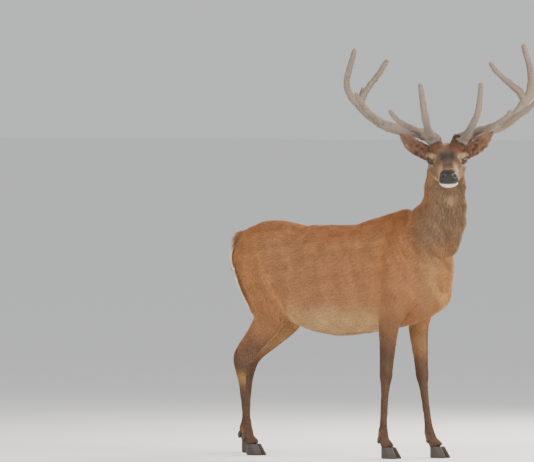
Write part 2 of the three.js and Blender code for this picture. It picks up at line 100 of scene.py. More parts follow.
# x, top, bottom, half width, height of the widest part, power
TRUNK = (
    (-577, 1002, 900, 44, 958, 2.0), (-566, 1046, 862, 92, 960, 2.0), (-520, 1094, 808, 137, 960, 2.1),
    (-446, 1128, 750, 164, 955, 2.1), (-350, 1142, 690, 178, 945, 2.1), (-240, 1138, 655, 188, 890, 2.1),
    (-120, 1124, 603, 203, 850, 2.1), (20, 1120, 580, 210, 840, 2.1), (150, 1129, 595, 203, 840, 2.1),
    (260, 1160, 612, 186, 860, 2.0), (345, 1186, 626, 170, 870, 1.9), (436, 1198, 655, 160, 880, 1.9),
    (510, 1150, 690, 140, 890, 1.9), (568, 1080, 742, 110, 900, 2.0), (596, 1016, 796, 74, 900, 2.0),
    (610, 960, 842, 40, 900, 2.0), (617, 918, 882, 12, 900, 2.0),
)
# x, y, z, half width, front reach, back reach, power
NECK = (
    (440, 0, 960, 130, 150, 140, 2.1), (505, 0, 1050, 128, 165, 138, 2.1),
    (555, -2, 1140, 106, 138, 133, 2.1), (583, -8, 1215, 89, 112, 112, 2.1),
    (596, -14, 1286, 80, 103, 100, 2.1), (606, -21, 1350, 75, 96, 93, 2.1),
    (613, -28, 1410, 71, 86, 80, 2.1), (615, -31, 1456, 64, 66, 62, 2.1),
)
TAIL = (
    (-520, 0, 1068, 28, 22, 24), (-560, 0, 1056, 27, 19, 21), (-586, -2, 1018, 26, 17, 19),
    (-597, -6, 962, 22, 14, 17), (-596, -9, 912, 14, 9, 11), (-594, -10, 884, 4, 3, 3),
)
FORELEG = (
    (404, 70, 1146, 10, 20, 20), (402, 84, 1100, 34, 58, 60), (398, 108, 1015, 57, 90, 94),
    (400, 116, 900, 66, 104, 112), (392, 116, 790, 64, 92, 104), (366, 112, 700, 52, 68, 80),
    (348, 110, 640, 43, 56, 62),
    (338, 104, 570, 36, 50, 50), (332, 102, 490, 31, 43, 42), (328, 100, 430, 32, 37, 38),
    (326, 98, 393, 31, 35, 37), (324, 98, 345, 24, 25, 29), (320, 98, 270, 20, 21, 24),
    (316, 98, 170, 20, 21, 24), (316, 98, 118, 25, 26, 33), (322, 98, 88, 26, 26, 30),
    (333, 98, 66, 29, 33, 31), (337, 98, 53, 32, 42, 34),
)
HINDLEG = (
    (-440, 62, 1090, 14, 28, 28), (-438, 76, 1048, 50, 72, 70), (-430, 98, 980, 84, 128, 120),
    (-408, 110, 880, 90, 150, 114),
    (-368, 118, 790, 84, 134, 104), (-326, 122, 715, 74, 104, 102), (-330, 124, 648, 60, 80, 84),
    (-384, 122, 574, 47, 64, 66), (-440, 118, 508, 38, 52, 62), (-472, 114, 462, 34, 47, 58),
    (-478, 112, 415, 31, 40, 42), (-474, 112, 350, 24, 29, 27), (-464, 112, 260, 21, 25, 23),
    (-452, 112, 165, 21, 25, 24), (-447, 112, 118, 26, 29, 34), (-438, 112, 88, 26, 27, 31),
    (-426, 112, 66, 29, 34, 31), (-421, 112, 53, 32, 42, 34),
)
STRIDE = {"fore": {"right": -12.0, "left": 155.0}, "hind": {"right": -6.0, "left": -97.0}}
SHANK = {"right": 0.0, "left": -86.0}
# x, top, bottom, half width, height of the widest part, power, in the head's frame
SKULL = (
    (-62, 34, -52, 40, 0, 2.0), (-40, 56, -78, 60, 0, 2.0),
    (0, 68, -96, 72, 2, 2.1), (48, 72, -106, 84, 4, 2.3),
    (98, 72, -104, 90, 4, 2.3), (145, 68, -94, 88, 8, 2.3), (185, 58, -84, 72, 2, 2.2),
    (235, 47, -76, 57, -10, 2.2), (285, 38, -71, 50, -20, 2.2), (330, 33, -68, 49, -24, 2.3),
    (362, 29, -65, 48, -20, 2.4), (384, 21, -56, 43, -14, 2.4), (398, 3, -38, 29, -14, 2.4),
)
PEDICLE = ((66, 36, 34, 40, 40, 40), (60, 50, 74, 32, 32, 32), (50, 65, 112, 27, 27, 27))
BROW_RIDGE = (
    (50, 80, 22, 13, 14, 14), (86, 85, 28, 17, 17, 17), (120, 83, 35, 19, 18, 19), (150, 79, 39, 19, 15, 17),
    (182, 66, 28, 16, 14, 16), (208, 50, 14, 10, 10, 10),
)
# x, y, z, half width, thickness, cupping depth, in the head's frame
EAR = (
    (34, 60, 14, 32, 28, 10), (42, 88, 29, 37, 23, 15), (53, 116, 49, 40, 13, 19), (66, 146, 68, 41, 8, 18),
    (74, 177, 93, 37, 7, 13), (76, 203, 117, 24, 6, 7), (75, 221, 135, 5, 5, 2),
)


def spline(rows: Rows, count: int) -> Array:
    """Catmull-Rom samples of rows of numbers.

    Args:
        rows: stations, one row each.
        count: how many samples to take from the first row to the last.

    Returns:
        The sampled rows.
    """
    table = np.asarray(rows, float)
    t = np.linspace(0, len(table) - 1, count)
    i = np.minimum(t.astype(int), len(table) - 2)
    f = (t - i)[:, None]
    a, b, c, d = (table[np.clip(i + k, 0, len(table) - 1)] for k in (-1, 0, 1, 2))
    curve = (2 * a - 5 * b + 4 * c - d) * f ** 2 + (3 * b - a - 3 * c + d) * f ** 3
    return 0.5 * (2 * b + (c - a) * f + curve)


def unit(v: Array) -> Array:
    """Vectors at length one."""
    return v / np.maximum(np.linalg.norm(v, axis=-1, keepdims=True), 1e-12)


def below(start: float, end: float, z: Array) -> Array:
    """0 above the height start, growing to 1 at the height end."""
    return np.clip((start - z) / (start - end), 0, 1)


def step(low: float, high: float, v: Array) -> Array:
    """Smooth 0 to 1 as v goes from low to high."""
    t = np.clip((v - low) / (high - low), 0, 1)
    return t * t * (3 - 2 * t)


def bump(v: Array, centre: float, width: float) -> Array:
    """Bell of height 1 about a centre."""
    return np.exp(-((v - centre) / width) ** 2)


@dataclass
class Shell:
    """A closed surface as arrays: points in millimetres and faces."""

    points: Array
    faces: list

    def moved(self, place: Callable[[Array], Array]) -> "Shell":
        """The same faces with every point placed anew."""
        return Shell(place(self.points), self.faces)


def skin_rings(rings: Array) -> Shell:
    """Closes a stack of rings with a pole at each end.

    Args:
        rings: points as (ring, segment, xyz).

    Returns:
        The closed shell.
    """
    r, n, _ = rings.shape
    poles = [rings[0].mean(0), rings[-1].mean(0)]
    points = np.vstack([rings.reshape(-1, 3), poles])
    k = np.arange(n)
    nxt = (k + 1) % n
    faces = []
    for i in range(r - 1):
        faces += np.stack([i * n + k, i * n + nxt, (i + 1) * n + nxt, (i + 1) * n + k], 1).tolist()
    faces += np.stack([np.full(n, r * n), nxt, k], 1).tolist()
    faces += np.stack([np.full(n, r * n + 1), (r - 1) * n + k, (r - 1) * n + nxt], 1).tolist()
    return Shell(points, faces)


def loft(rows: Rows, upward: Sequence[float] = (0, 0, 1), inset: float | tuple = 0.0, segments: int = 48,
         density: int = 7, twist: float = 0.0) -> Shell:
    """Lofts a closed form along a spine.

    Args:
        rows: x, y, z, half width, reach up, reach down and, if given, the section's power.
        upward: the way that the up reach faces.
        inset: how far the surface lies inside the stated sizes, or that at each end.
        segments: points round each ring.
        density: rings for each station.
        twist: degrees that the sections turn by the far end.

    Returns:
        The closed shell.
    """
    s = spline([tuple(row) + (2.0,) * (7 - len(row)) for row in rows], len(rows) * density)
    centre = s[:, :3]
    along = unit(np.gradient(centre, axis=0))
    across = unit(np.cross(np.array(upward, float), along))
    turn = np.radians(twist * np.linspace(0, 1, len(s)) ** 2)[:, None]
    across = across * np.cos(turn) + np.cross(along, across) * np.sin(turn)
    over = np.cross(along, across)
    angle = 2 * np.pi * np.arange(segments) / segments
    c, q = np.cos(angle)[None], np.sin(angle)[None]
    power = 2 / s[:, 6:7]
    depth = np.linspace(*inset, len(s))[:, None] if isinstance(inset, tuple) else inset
    side, up, down = (np.maximum(s[:, k:k + 1] - depth, 1.0) for k in (3, 4, 5))
    a = side * np.sign(c) * np.abs(c) ** power
    b = np.where(q > 0, up, down) * np.sign(q) * np.abs(q) ** power
    return skin_rings(centre[:, None] + across[:, None] * a[..., None] + over[:, None] * b[..., None])


def egg_rows(rows: Rows) -> Rows:
    """Turns rows of x, top, bottom, half width, widest height and power into loft rows."""
    return [(x, 0, mid, side, top - mid, mid - bottom, power) for x, top, bottom, side, mid, power in rows]


def mirrored(rows: Rows, s: int) -> Rows:
    """Rows of the same form on the side s."""
    return [(row[0], s * row[1], *row[2:]) for row in rows]


def leg_rows(pair: str, side: str) -> Rows:
    """Stations of one leg in its stride.

    Args:
        pair: fore or hind.
        side: right or left.

    Returns:
        The rows of its loft.
    """
    s = SIDES[side]
    stride = STRIDE[pair][side]
    out = []
    for x, y, z, wide, front, back in FORELEG if pair == "fore" else HINDLEG:
        height = np.array(float(z))
        if pair == "fore":
            x = x + stride * below(800, 0, height)
        else:
            x = x + stride * below(820, 490, height) + SHANK[side] * below(470, 0, height)
        out.append((float(x), s * y, z, wide, front, back))
    return out


def ear_shell(s: int, inset: float) -> Shell:
    """Cupped leaf of one ear in the head's frame.

    Args:
        s: -1 for the right ear, 1 for the left.
        inset: how far inside the solid it lies.

    Returns:
        The closed leaf.
    """
    along = unit(np.array([-0.18, s * 0.88, 0.44]))
    opening = unit(np.array([0.92, s * 0.22, -0.08]))
    wide = unit(np.cross(along, opening)) * s
    half = 16
    rings = []
    for x, y, z, width, thick, cup in spline(EAR, 60):
        centre = np.array([x, s * y, z])
        t = np.linspace(-1, 1, half + 1)
        front = cup * (t * t - 0.5) - inset * 0.5
        rear = cup * (t * t - 0.5) - (thick - inset * 0.5) * np.sqrt(np.maximum(0, 1 - t ** 6))
        width = max(width - inset, 2.0)
        face = centre + wide * (width * t)[:, None] + opening * front[:, None]
        back = centre + wide * (width * t)[:, None] + opening * rear[:, None]
        rings.append(np.vstack([face, back[1:-1][::-1]]))
    return skin_rings(np.array(rings))


@dataclass(frozen=True)
class Coat:
    """Hair of one form: all lengths in millimetres."""

    length: float
    width: float
    lift: float                                   # how far the tip stands off, as a share of the length
    spacing: float


@dataclass
class Form:
    """One lofted form of the body, with its coat and the way that the coat lies."""

    name: str
    rows: Rows
    coat: Coat
    depth: tuple[float, float]                    # coat's depth at the first and at the last station
    lie: float = 1.0                              # 1 where hair runs from the first station to the last
    fall: float = 0.0                             # how strongly it also hangs downwards
    upward: tuple[float, float, float] = (0, 0, 1)
    in_head: bool = False
    segments: int = 48
    twist: float = 0.0
    chart: tuple[float, float, float, float] = (0, 0, 1, 1)
    spine: Array = field(default=None, repr=False)
    along: Array = field(default=None, repr=False)
    across: Array = field(default=None, repr=False)
    reach: Array = field(default=None, repr=False)

    def __post_init__(self) -> None:
        """Samples the form's spine once."""
        rows = spline([tuple(row[:6]) for row in self.rows], 44)
        place = HEAD.out if self.in_head else (lambda p: p)
        self.spine = place(rows[:, :3])
        self.along = unit(np.gradient(self.spine, axis=0))
        up = np.array(self.upward, float)
        up = HEAD.turn() @ up if self.in_head else up
        self.across = unit(np.cross(up, self.along))
        reach = rows[:, 3] * 0.5 + (rows[:, 4] + rows[:, 5]) * 0.25
        self.reach = np.maximum(reach, 0.4 * reach.max())

    def shell(self) -> Shell:
        """The form as a closed shell, inset by the coat's depth, in the trunk's frame."""
        made = loft(self.rows, self.upward, self.depth, self.segments, 7, self.twist)
        return made.moved(HEAD.out) if self.in_head else made

    def locate(self, points: Array) -> tuple[Array, Array]:
        """Nearest spine sample of each point and its distance as a share of the form's reach.

        Args:
            points: in the trunk's frame.

        Returns:
            The nearest sample of each point and the share.
        """
        index = np.empty(len(points), int)
        ratio = np.empty(len(points))
        for start in range(0, len(points), 20000):
            part = points[start:start + 20000]
            d = np.linalg.norm(part[:, None] - self.spine[None], axis=2)
            near = d.argmin(1)
            index[start:start + 20000] = near
            ratio[start:start + 20000] = d[np.arange(len(part)), near] / self.reach[near]
        return index, ratio

    def unwrap(self, points: Array, index: Array) -> Array:
        """Place of each point on this form's chart: along the form and round it.

        Args:
            points: in the trunk's frame.
            index: the nearest spine sample of each.

        Returns:
            UV places, one row each.
        """
        off = points - self.spine[index]
        across = self.across[index]
        over = np.cross(self.along[index], across)
        round_it = np.arctan2((off * over).sum(1), (off * across).sum(1)) / (2 * np.pi) + 0.5
        slide = (off * self.along[index]).sum(1) / 20
        u = np.clip((index + np.clip(slide, -0.5, 0.5)) / (len(self.spine) - 1), 0, 1)
        left, low, right, high = self.chart
        forward = left + CHART_RIM + u * (right - left - 2 * CHART_RIM)
        return np.stack([forward, low + CHART_RIM + round_it * (high - low - 2 * CHART_RIM)], 1)


def body_forms() -> list[Form]:
    """Every form of flesh with its coat.

    Returns:
        The forms, in the order of their weights.
    """
    forms = [
        Form("trunk", egg_rows(TRUNK), Coat(22, 2.7, 0.07, 5.6), (7, 8), lie=-1, fall=0.45, segments=90,
             chart=(0, 0, 0.5, 0.5)),
        Form("neck", NECK, Coat(28, 2.3, 0.13, 3.8), (10, 8), lie=-1, fall=0.1, upward=(-1, 0, 0),
             segments=64, twist=48, chart=(0.5, 0, 0.75, 0.5)),
        Form("tail", TAIL, Coat(32, 2.6, 0.16, 3.4), (4, 6), upward=(-1, 0, 0.4), segments=28,
             chart=(0.875, 0.5, 1, 0.75)),
        Form("head", egg_rows(SKULL), Coat(8.5, 1.6, 0.10, 2.8), (5, 2.5), lie=-1, in_head=True, segments=72,
             chart=(0.75, 0, 1, 0.5)),
    ]
    for k, (pair, side) in enumerate((p, s) for p in STRIDE for s in SIDES):
        coat = Coat(17, 2.5, 0.07, 5.1)
        forms.append(Form(f"{pair}leg_{side}", leg_rows(pair, side), coat, (8, 3), upward=(1, 0, 0),
                          segments=40, chart=(0.2 * k, 0.5, 0.2 * (k + 1), 1)))
    return forms


FLESH = body_forms()


def loft_head_extras() -> list[Shell]:
    """Pedicles and brow ridges in the trunk's frame.

    Returns:
        Their shells.
    """
    shells = []
    for s in SIDES.values():
        shells.append(loft(mirrored(PEDICLE, s), (1, 0, 0), 1.5, 32, 12).moved(HEAD.out))
        shells.append(loft(mirrored(BROW_RIDGE, s), (0, 0, 1), 2.0, 32, 9).moved(HEAD.out))
        shells.append(ear_shell(s, 1.0).moved(HEAD.out))
    return shells


# ------------------------------------------------------------------ meshes
def to_mesh(name: str, shell: Shell) -> bpy.types.Mesh:
    """The mesh of a shell, in metres, about the animal's origin."""
    mesh = bpy.data.meshes.new(name)
    mesh.from_pydata(((shell.points + ORIGIN) * MM).tolist(), [], shell.faces)
    return mesh


def outward(mesh: bpy.types.Mesh) -> None:
    """Turns every face outwards."""
    bm = bmesh.new()
    bm.from_mesh(mesh)
    bmesh.ops.recalc_face_normals(bm, faces=bm.faces)
    bm.to_mesh(mesh)
    bm.free()


def merged(name: str, shells: Sequence[Shell]) -> Shell:
    """Several shells as one list of points and faces.

    Args:
        name: for messages.
        shells: closed shells.

    Returns:
        One shell that holds them all.
    """
    points, faces, start = [], [], 0
    for shell in shells:
        points.append(shell.points)
        faces += [[i + start for i in face] for face in shell.faces]
        start += len(shell.points)
    LOG.info("%s: %d shells, %d faces", name, len(shells), len(faces))
    return Shell(np.vstack(points), faces)


def remeshed(name: str, shells: Sequence[Shell], voxel: float) -> bpy.types.Mesh:
    """One even skin over overlapping shells.

    Args:
        name: name of the mesh.
        shells: closed shells in the trunk's frame.
        voxel: size of the grid in millimetres.

    Returns:
        The merged mesh.
    """
    parts = []
    for shell in shells:
        mesh = to_mesh(name, shell)
        outward(mesh)
        parts.append(mesh)
    bm = bmesh.new()
    for mesh in parts:
        bm.from_mesh(mesh)
        bpy.data.meshes.remove(mesh)
    mesh = bpy.data.meshes.new(name)
    bm.to_mesh(mesh)
    bm.free()
    obj = bpy.data.objects.new(name, mesh)
    bpy.context.scene.collection.objects.link(obj)
    modifier = obj.modifiers.new("even", "REMESH")
    modifier.mode = "VOXEL"
    modifier.voxel_size = voxel * MM
    graph = bpy.context.evaluated_depsgraph_get()
    result = bpy.data.meshes.new_from_object(obj.evaluated_get(graph))
    bpy.data.objects.remove(obj)
    bpy.data.meshes.remove(mesh)
    keep_largest(result)
    return result


def keep_largest(mesh: bpy.types.Mesh) -> None:
    """Drops every island of a mesh but the one with the most vertices.

    Args:
        mesh: changed in place.
    """
    bm = bmesh.new()
    bm.from_mesh(mesh)
    seen: set = set()
    best: list = []
    for start in bm.verts:
        if start in seen:
            continue
        island, stack = [], [start]
        seen.add(start)
        while stack:
            v = stack.pop()
            island.append(v)
            for e in v.link_edges:
                other = e.other_vert(v)
                if other not in seen:
                    seen.add(other)
                    stack.append(other)
        if len(island) > len(best):
            best = island
    if len(best) < len(bm.verts):
        chosen = set(best)
        bmesh.ops.delete(bm, geom=[v for v in bm.verts if v not in chosen], context="VERTS")
    bm.to_mesh(mesh)
    bm.free()


def cut(mesh: bpy.types.Mesh, at: Array, normal: Array, keep_above: bool) -> None:
    """Cuts a mesh by a plane given in the trunk's frame and drops one side.

    Args:
        mesh: changed in place.
        at: a point of the plane.
        normal: its normal.
        keep_above: whether the side of the normal stays.
    """
    bm = bmesh.new()
    bm.from_mesh(mesh)
    geom = bm.verts[:] + bm.edges[:] + bm.faces[:]
    bmesh.ops.bisect_plane(bm, geom=geom, plane_co=Vector((at + ORIGIN) * MM), plane_no=Vector(normal),
                           clear_inner=keep_above, clear_outer=not keep_above)
    bm.to_mesh(mesh)
    bm.free()


def bridged(low: bpy.types.Mesh, high: bpy.types.Mesh) -> bpy.types.Mesh:
    """Joins two open meshes along their rims.

    Args:
        low: the body.
        high: the head and upper neck.

    Returns:
        The joined mesh.
    """
    bm = bmesh.new()
    bm.from_mesh(low)
    bm.from_mesh(high)
    rims = [e for e in bm.edges if e.is_boundary]
    bmesh.ops.bridge_loops(bm, edges=rims)
    bmesh.ops.triangulate(bm, faces=[f for f in bm.faces if len(f.verts) > 4])
    bmesh.ops.recalc_face_normals(bm, faces=bm.faces)
    mesh = bpy.data.meshes.new("skin")
    bm.to_mesh(mesh)
    open_edges = sum(e.is_boundary for e in bm.edges)
    bm.free()
    LOG.info("skin joined: %d faces, %d open edges", len(mesh.polygons), open_edges)
    return mesh


def coordinates(mesh: bpy.types.Mesh) -> Array:
    """Vertices in the trunk's frame, in millimetres."""
    flat = np.empty(len(mesh.vertices) * 3)
    mesh.vertices.foreach_get("co", flat)
    return flat.reshape(-1, 3) / MM - ORIGIN


def set_coordinates(mesh: bpy.types.Mesh, points: Array) -> None:
    """Places the vertices from the trunk's frame."""
    mesh.vertices.foreach_set("co", ((points + ORIGIN) * MM).ravel())
    mesh.update()


def normals(mesh: bpy.types.Mesh) -> Array:
    """Vertex normals."""
    flat = np.empty(len(mesh.vertices) * 3)
    mesh.vertex_normals.foreach_get("vector", flat)
    return flat.reshape(-1, 3)


def relax(mesh: bpy.types.Mesh, weight: Array, rounds: int) -> None:
    """Smooths a mesh without shrinking it.

    Args:
        mesh: mesh to smooth.
        weight: share of the smoothing for each vertex.
        rounds: how many pairs of passes.
    """
    edges = np.empty(len(mesh.edges) * 2, int)
    mesh.edges.foreach_get("vertices", edges)
    a, b = edges.reshape(-1, 2).T
    points = coordinates(mesh)
    count = np.bincount(a, minlength=len(points)) + np.bincount(b, minlength=len(points))
    for _ in range(rounds):
        for strength in (0.55, -0.565):
            total = np.stack([
                np.bincount(a, points[b, k], len(points)) + np.bincount(b, points[a, k], len(points))
                for k in range(3)], 1)
            points = points + (total / count[:, None] - points) * (strength * weight)[:, None]
    set_coordinates(mesh, points)


# ------------------------------------------------------------------ markings
def srgb(red: float, green: float, blue: float) -> Array:
    """Linear colour of 8-bit screen values."""
    c = np.array([red, green, blue]) / 255
    return np.where(c <= 0.04045, c / 12.92, ((c + 0.055) / 1.055) ** 2.4)


class Tone(Enum):
    """Colours of the coat and of bare skin."""

    FLANK = (166, 112, 68)
    BACK = (156, 98, 56)
    BELLY = (188, 150, 98)
    NECK = (134, 106, 78)
    LEG = (92, 66, 48)
    INNER_LEG = (176, 132, 86)
    RUMP = (232, 216, 182)
    RUMP_EDGE = (84, 58, 42)
    TAIL = (204, 148, 84)
    CHEST = (176, 130, 82)
    FACE = (128, 94, 66)
    FOREHEAD = (54, 44, 38)
    CROWN = (120, 78, 50)
    PALE = (196, 166, 126)
    CHIN = (232, 222, 204)
    NOSE = (26, 23, 23)
    RIM = (30, 22, 18)
    EAR_BACK = (122, 92, 68)
    EAR_INSIDE = (150, 112, 92)
    EAR_POCKET = (82, 50, 40)
    VELVET = (116, 94, 66)
    VELVET_PALE = (158, 136, 100)
    VELVET_DARK = (64, 54, 44)

    @property
    def linear(self) -> Array:
        """The colour in linear light."""
        return srgb(*self.value)


def tinted(base: Array, tone: Tone, amount: Array) -> Array:
    """Mixes a tone over colours by the given amount."""
    return base + (tone.linear - base) * np.clip(amount, 0, 1)[:, None]


def wave(points: Array, scale: float, seed: int) -> Array:
    """Smooth pseudo-random field between -1 and 1.

    Args:
        points: where it is wanted.
        scale: its usual length of wave in millimetres.
        seed: picks the waves.

    Returns:
        One value for each point.
    """
    rng = np.random.default_rng(seed)
    total = np.zeros(len(points))
    for _ in range(5):
        direction = unit(rng.normal(size=3)) / scale
        total += np.sin(points @ direction * rng.uniform(0.7, 1.6) * 2 * np.pi + rng.uniform(0, 6.28))
    return total / 3


def head_colours(q: Array, colour: Array, amount: Array) -> Array:
    """Markings of the face for points of the head's frame.

    Args:
        q: points in the head's frame.
        colour: colours so far.
        amount: how much each point belongs to the head.

    Returns:
        The new colours.
    """
    x, z = q[:, 0], q[:, 2]
    y = np.abs(q[:, 1])
    face = tinted(colour, Tone.FACE, amount)
    mottle = wave(q, 34, 61)
    crown = step(-60, 10, x) * step(190, 110, x + 12 * mottle) * step(6, 45, z)
    face = tinted(face, Tone.CROWN, amount * crown * 0.8)
    bridge = step(58, 20, y + 0.10 * (x - 185) + 8 * mottle) * step(100, 200, x + 14 * mottle)
    bridge *= step(365, 290, x)
    bridge *= step(0, 30, z) * (0.72 + 0.28 * bump(y, 24, 14)) * (0.85 - 0.35 * bump(x, 262, 36))
    face = tinted(face, Tone.FOREHEAD, amount * np.minimum(1, 1.5 * bridge))
    pedicle = np.linalg.norm(np.stack([x - 46, y - 62, z - 105], 1), axis=1)
    face = tinted(face, Tone.FOREHEAD, step(64, 34, pedicle + 6 * mottle) * 0.75)
    eye = np.linalg.norm((q - EYE_AT) * np.array([0.8, 0, 1.15]), axis=1)
    side = step(30, 52, y)
    face = tinted(face, Tone.PALE, amount * side * step(42, 28, eye) * 0.6)
    face = tinted(face, Tone.PALE, amount * step(235, 300, x) * step(375, 345, x) * step(20, 34, y) * 0.6)
    face = tinted(face, Tone.FOREHEAD, amount * side * bump(x, 196, 16) * bump(z, 6, 9) * 0.9)
    face = tinted(face, Tone.PALE, amount * step(-46, -70, z) * step(330, 120, x) * 0.5)
    face = tinted(face, Tone.CHIN, amount * step(300, 345, x) * step(-34, -42, z))
    face = tinted(face, Tone.RIM, amount * side * step(26, 20, eye) * 0.85)
    # dark bare skin of the lips along the mouth line, with painted shade in the groove between them
    mouth = bump(z - (-37 + 0.05 * (395 - x)), 0, 2.6) * step(296, 316, x)
    face = tinted(face, Tone.RIM, amount * mouth * 0.9)
    pad = step(352, 359, x - 0.35 * (z - 10)) * step(44, 36, y) * step(-34, -30, z)
    return tinted(face, Tone.NOSE, amount * pad)


def ear_amount(q: Array) -> tuple[Array, Array]:
    """How near each head-frame point is to an ear, and how far along it.

    Args:
        q: points in the head's frame.

    Returns:
        Distance as a share of the ear's reach, and place along it from 0 to 1.
    """
    table = spline(EAR, 60)
    best = np.full(len(q), 9.0)
    along = np.zeros(len(q))
    for s in SIDES.values():
        centre = table[:, :3] * np.array([1, s, 1])
        for start in range(0, len(q), 20000):
            part = slice(start, start + 20000)
            d = np.linalg.norm(q[part, None] - centre[None], axis=2)
            near = d.argmin(1)
            ratio = d[np.arange(len(near)), near] / (table[near, 3] + 4)
            closer = ratio < best[part]
            best[part] = np.where(closer, ratio, best[part])
            along[part] = np.where(closer, near / 59, along[part])
    return best, along


@dataclass
class Place:
    """What is known of points on the animal's surface."""

    points: Array
    normal: Array
    weight: dict[str, Array] = field(default_factory=dict)
    index: dict[str, Array] = field(default_factory=dict)
    lie: Array = field(default=None)
    ear: Array = field(default=None)
    ear_along: Array = field(default=None)
    head: Array = field(default=None)

    @classmethod
    def of(cls, points: Array, normal: Array) -> "Place":
        """Sorts points among the forms and finds the lie of the coat at each.

        Args:
            points: in the trunk's frame.
            normal: the surface normal at each.

        Returns:
            The sorted points.
        """
        place = cls(points, normal)
        total = np.zeros(len(points))
        lie = np.zeros_like(points)
        for form in FLESH:
            index, ratio = form.locate(points)
            reach = 1.25 if form.name == "tail" else 1.0
            weight = np.exp(-7 * np.clip(ratio / reach - 0.85, 0, 4))
            place.weight[form.name] = weight
            place.index[form.name] = index
            total += weight
            lie += weight[:, None] * (form.along[index] * form.lie + np.array([0, 0, -form.fall]))
        for weight in place.weight.values():
            weight /= total
        place.head = HEAD.into(points)
        ratio, along = ear_amount(place.head)
        beyond = step(58, 78, np.abs(place.head[:, 1]) - 0.25 * (60 - place.head[:, 2]).clip(0, 60))
        place.ear = step(1.2, 0.95, ratio) * beyond * (points[:, 2] > 1380)
        place.ear_along = along
        for s in SIDES.values():
            direction = HEAD.turn() @ unit(np.array([-0.1, s * 0.85, 0.5]))
            mine = place.ear * (np.sign(place.head[:, 1]) == s)
            lie = lie * (1 - mine)[:, None] + direction * mine[:, None]
        lie -= normal * (lie * normal).sum(1)[:, None]
        place.lie = unit(lie)
        return place

    def leg(self) -> Array:
        """Weight of the legs."""
        return sum(w for name, w in self.weight.items() if "leg" in name)

    def unwrapped(self) -> Array:
        """UV place of each point on the unwrap of the whole skin.

        Returns:
            UV places, one row each.
        """
        best = np.full(len(self.points), -1.0)
        uv = np.zeros((len(self.points), 2))
        for form in FLESH:
            here = self.weight[form.name] > best
            best = np.where(here, self.weight[form.name], best)
            if here.any():
                uv[here] = form.unwrap(self.points[here], self.index[form.name][here])
        ears = self.ear > 0.5
        s = np.sign(self.head[:, 1])
        flat = np.stack([0.81 + self.ear_along * 0.055, 0.875 + s * 0.05 + self.head[:, 0] / 4000], 1)
        front = (self.normal @ HEAD.turn()[:, 0]) > 0
        flat[:, 0] = np.where(front, flat[:, 0], 0.88 + self.ear_along * 0.055)
        uv[ears] = flat[ears]
        return uv


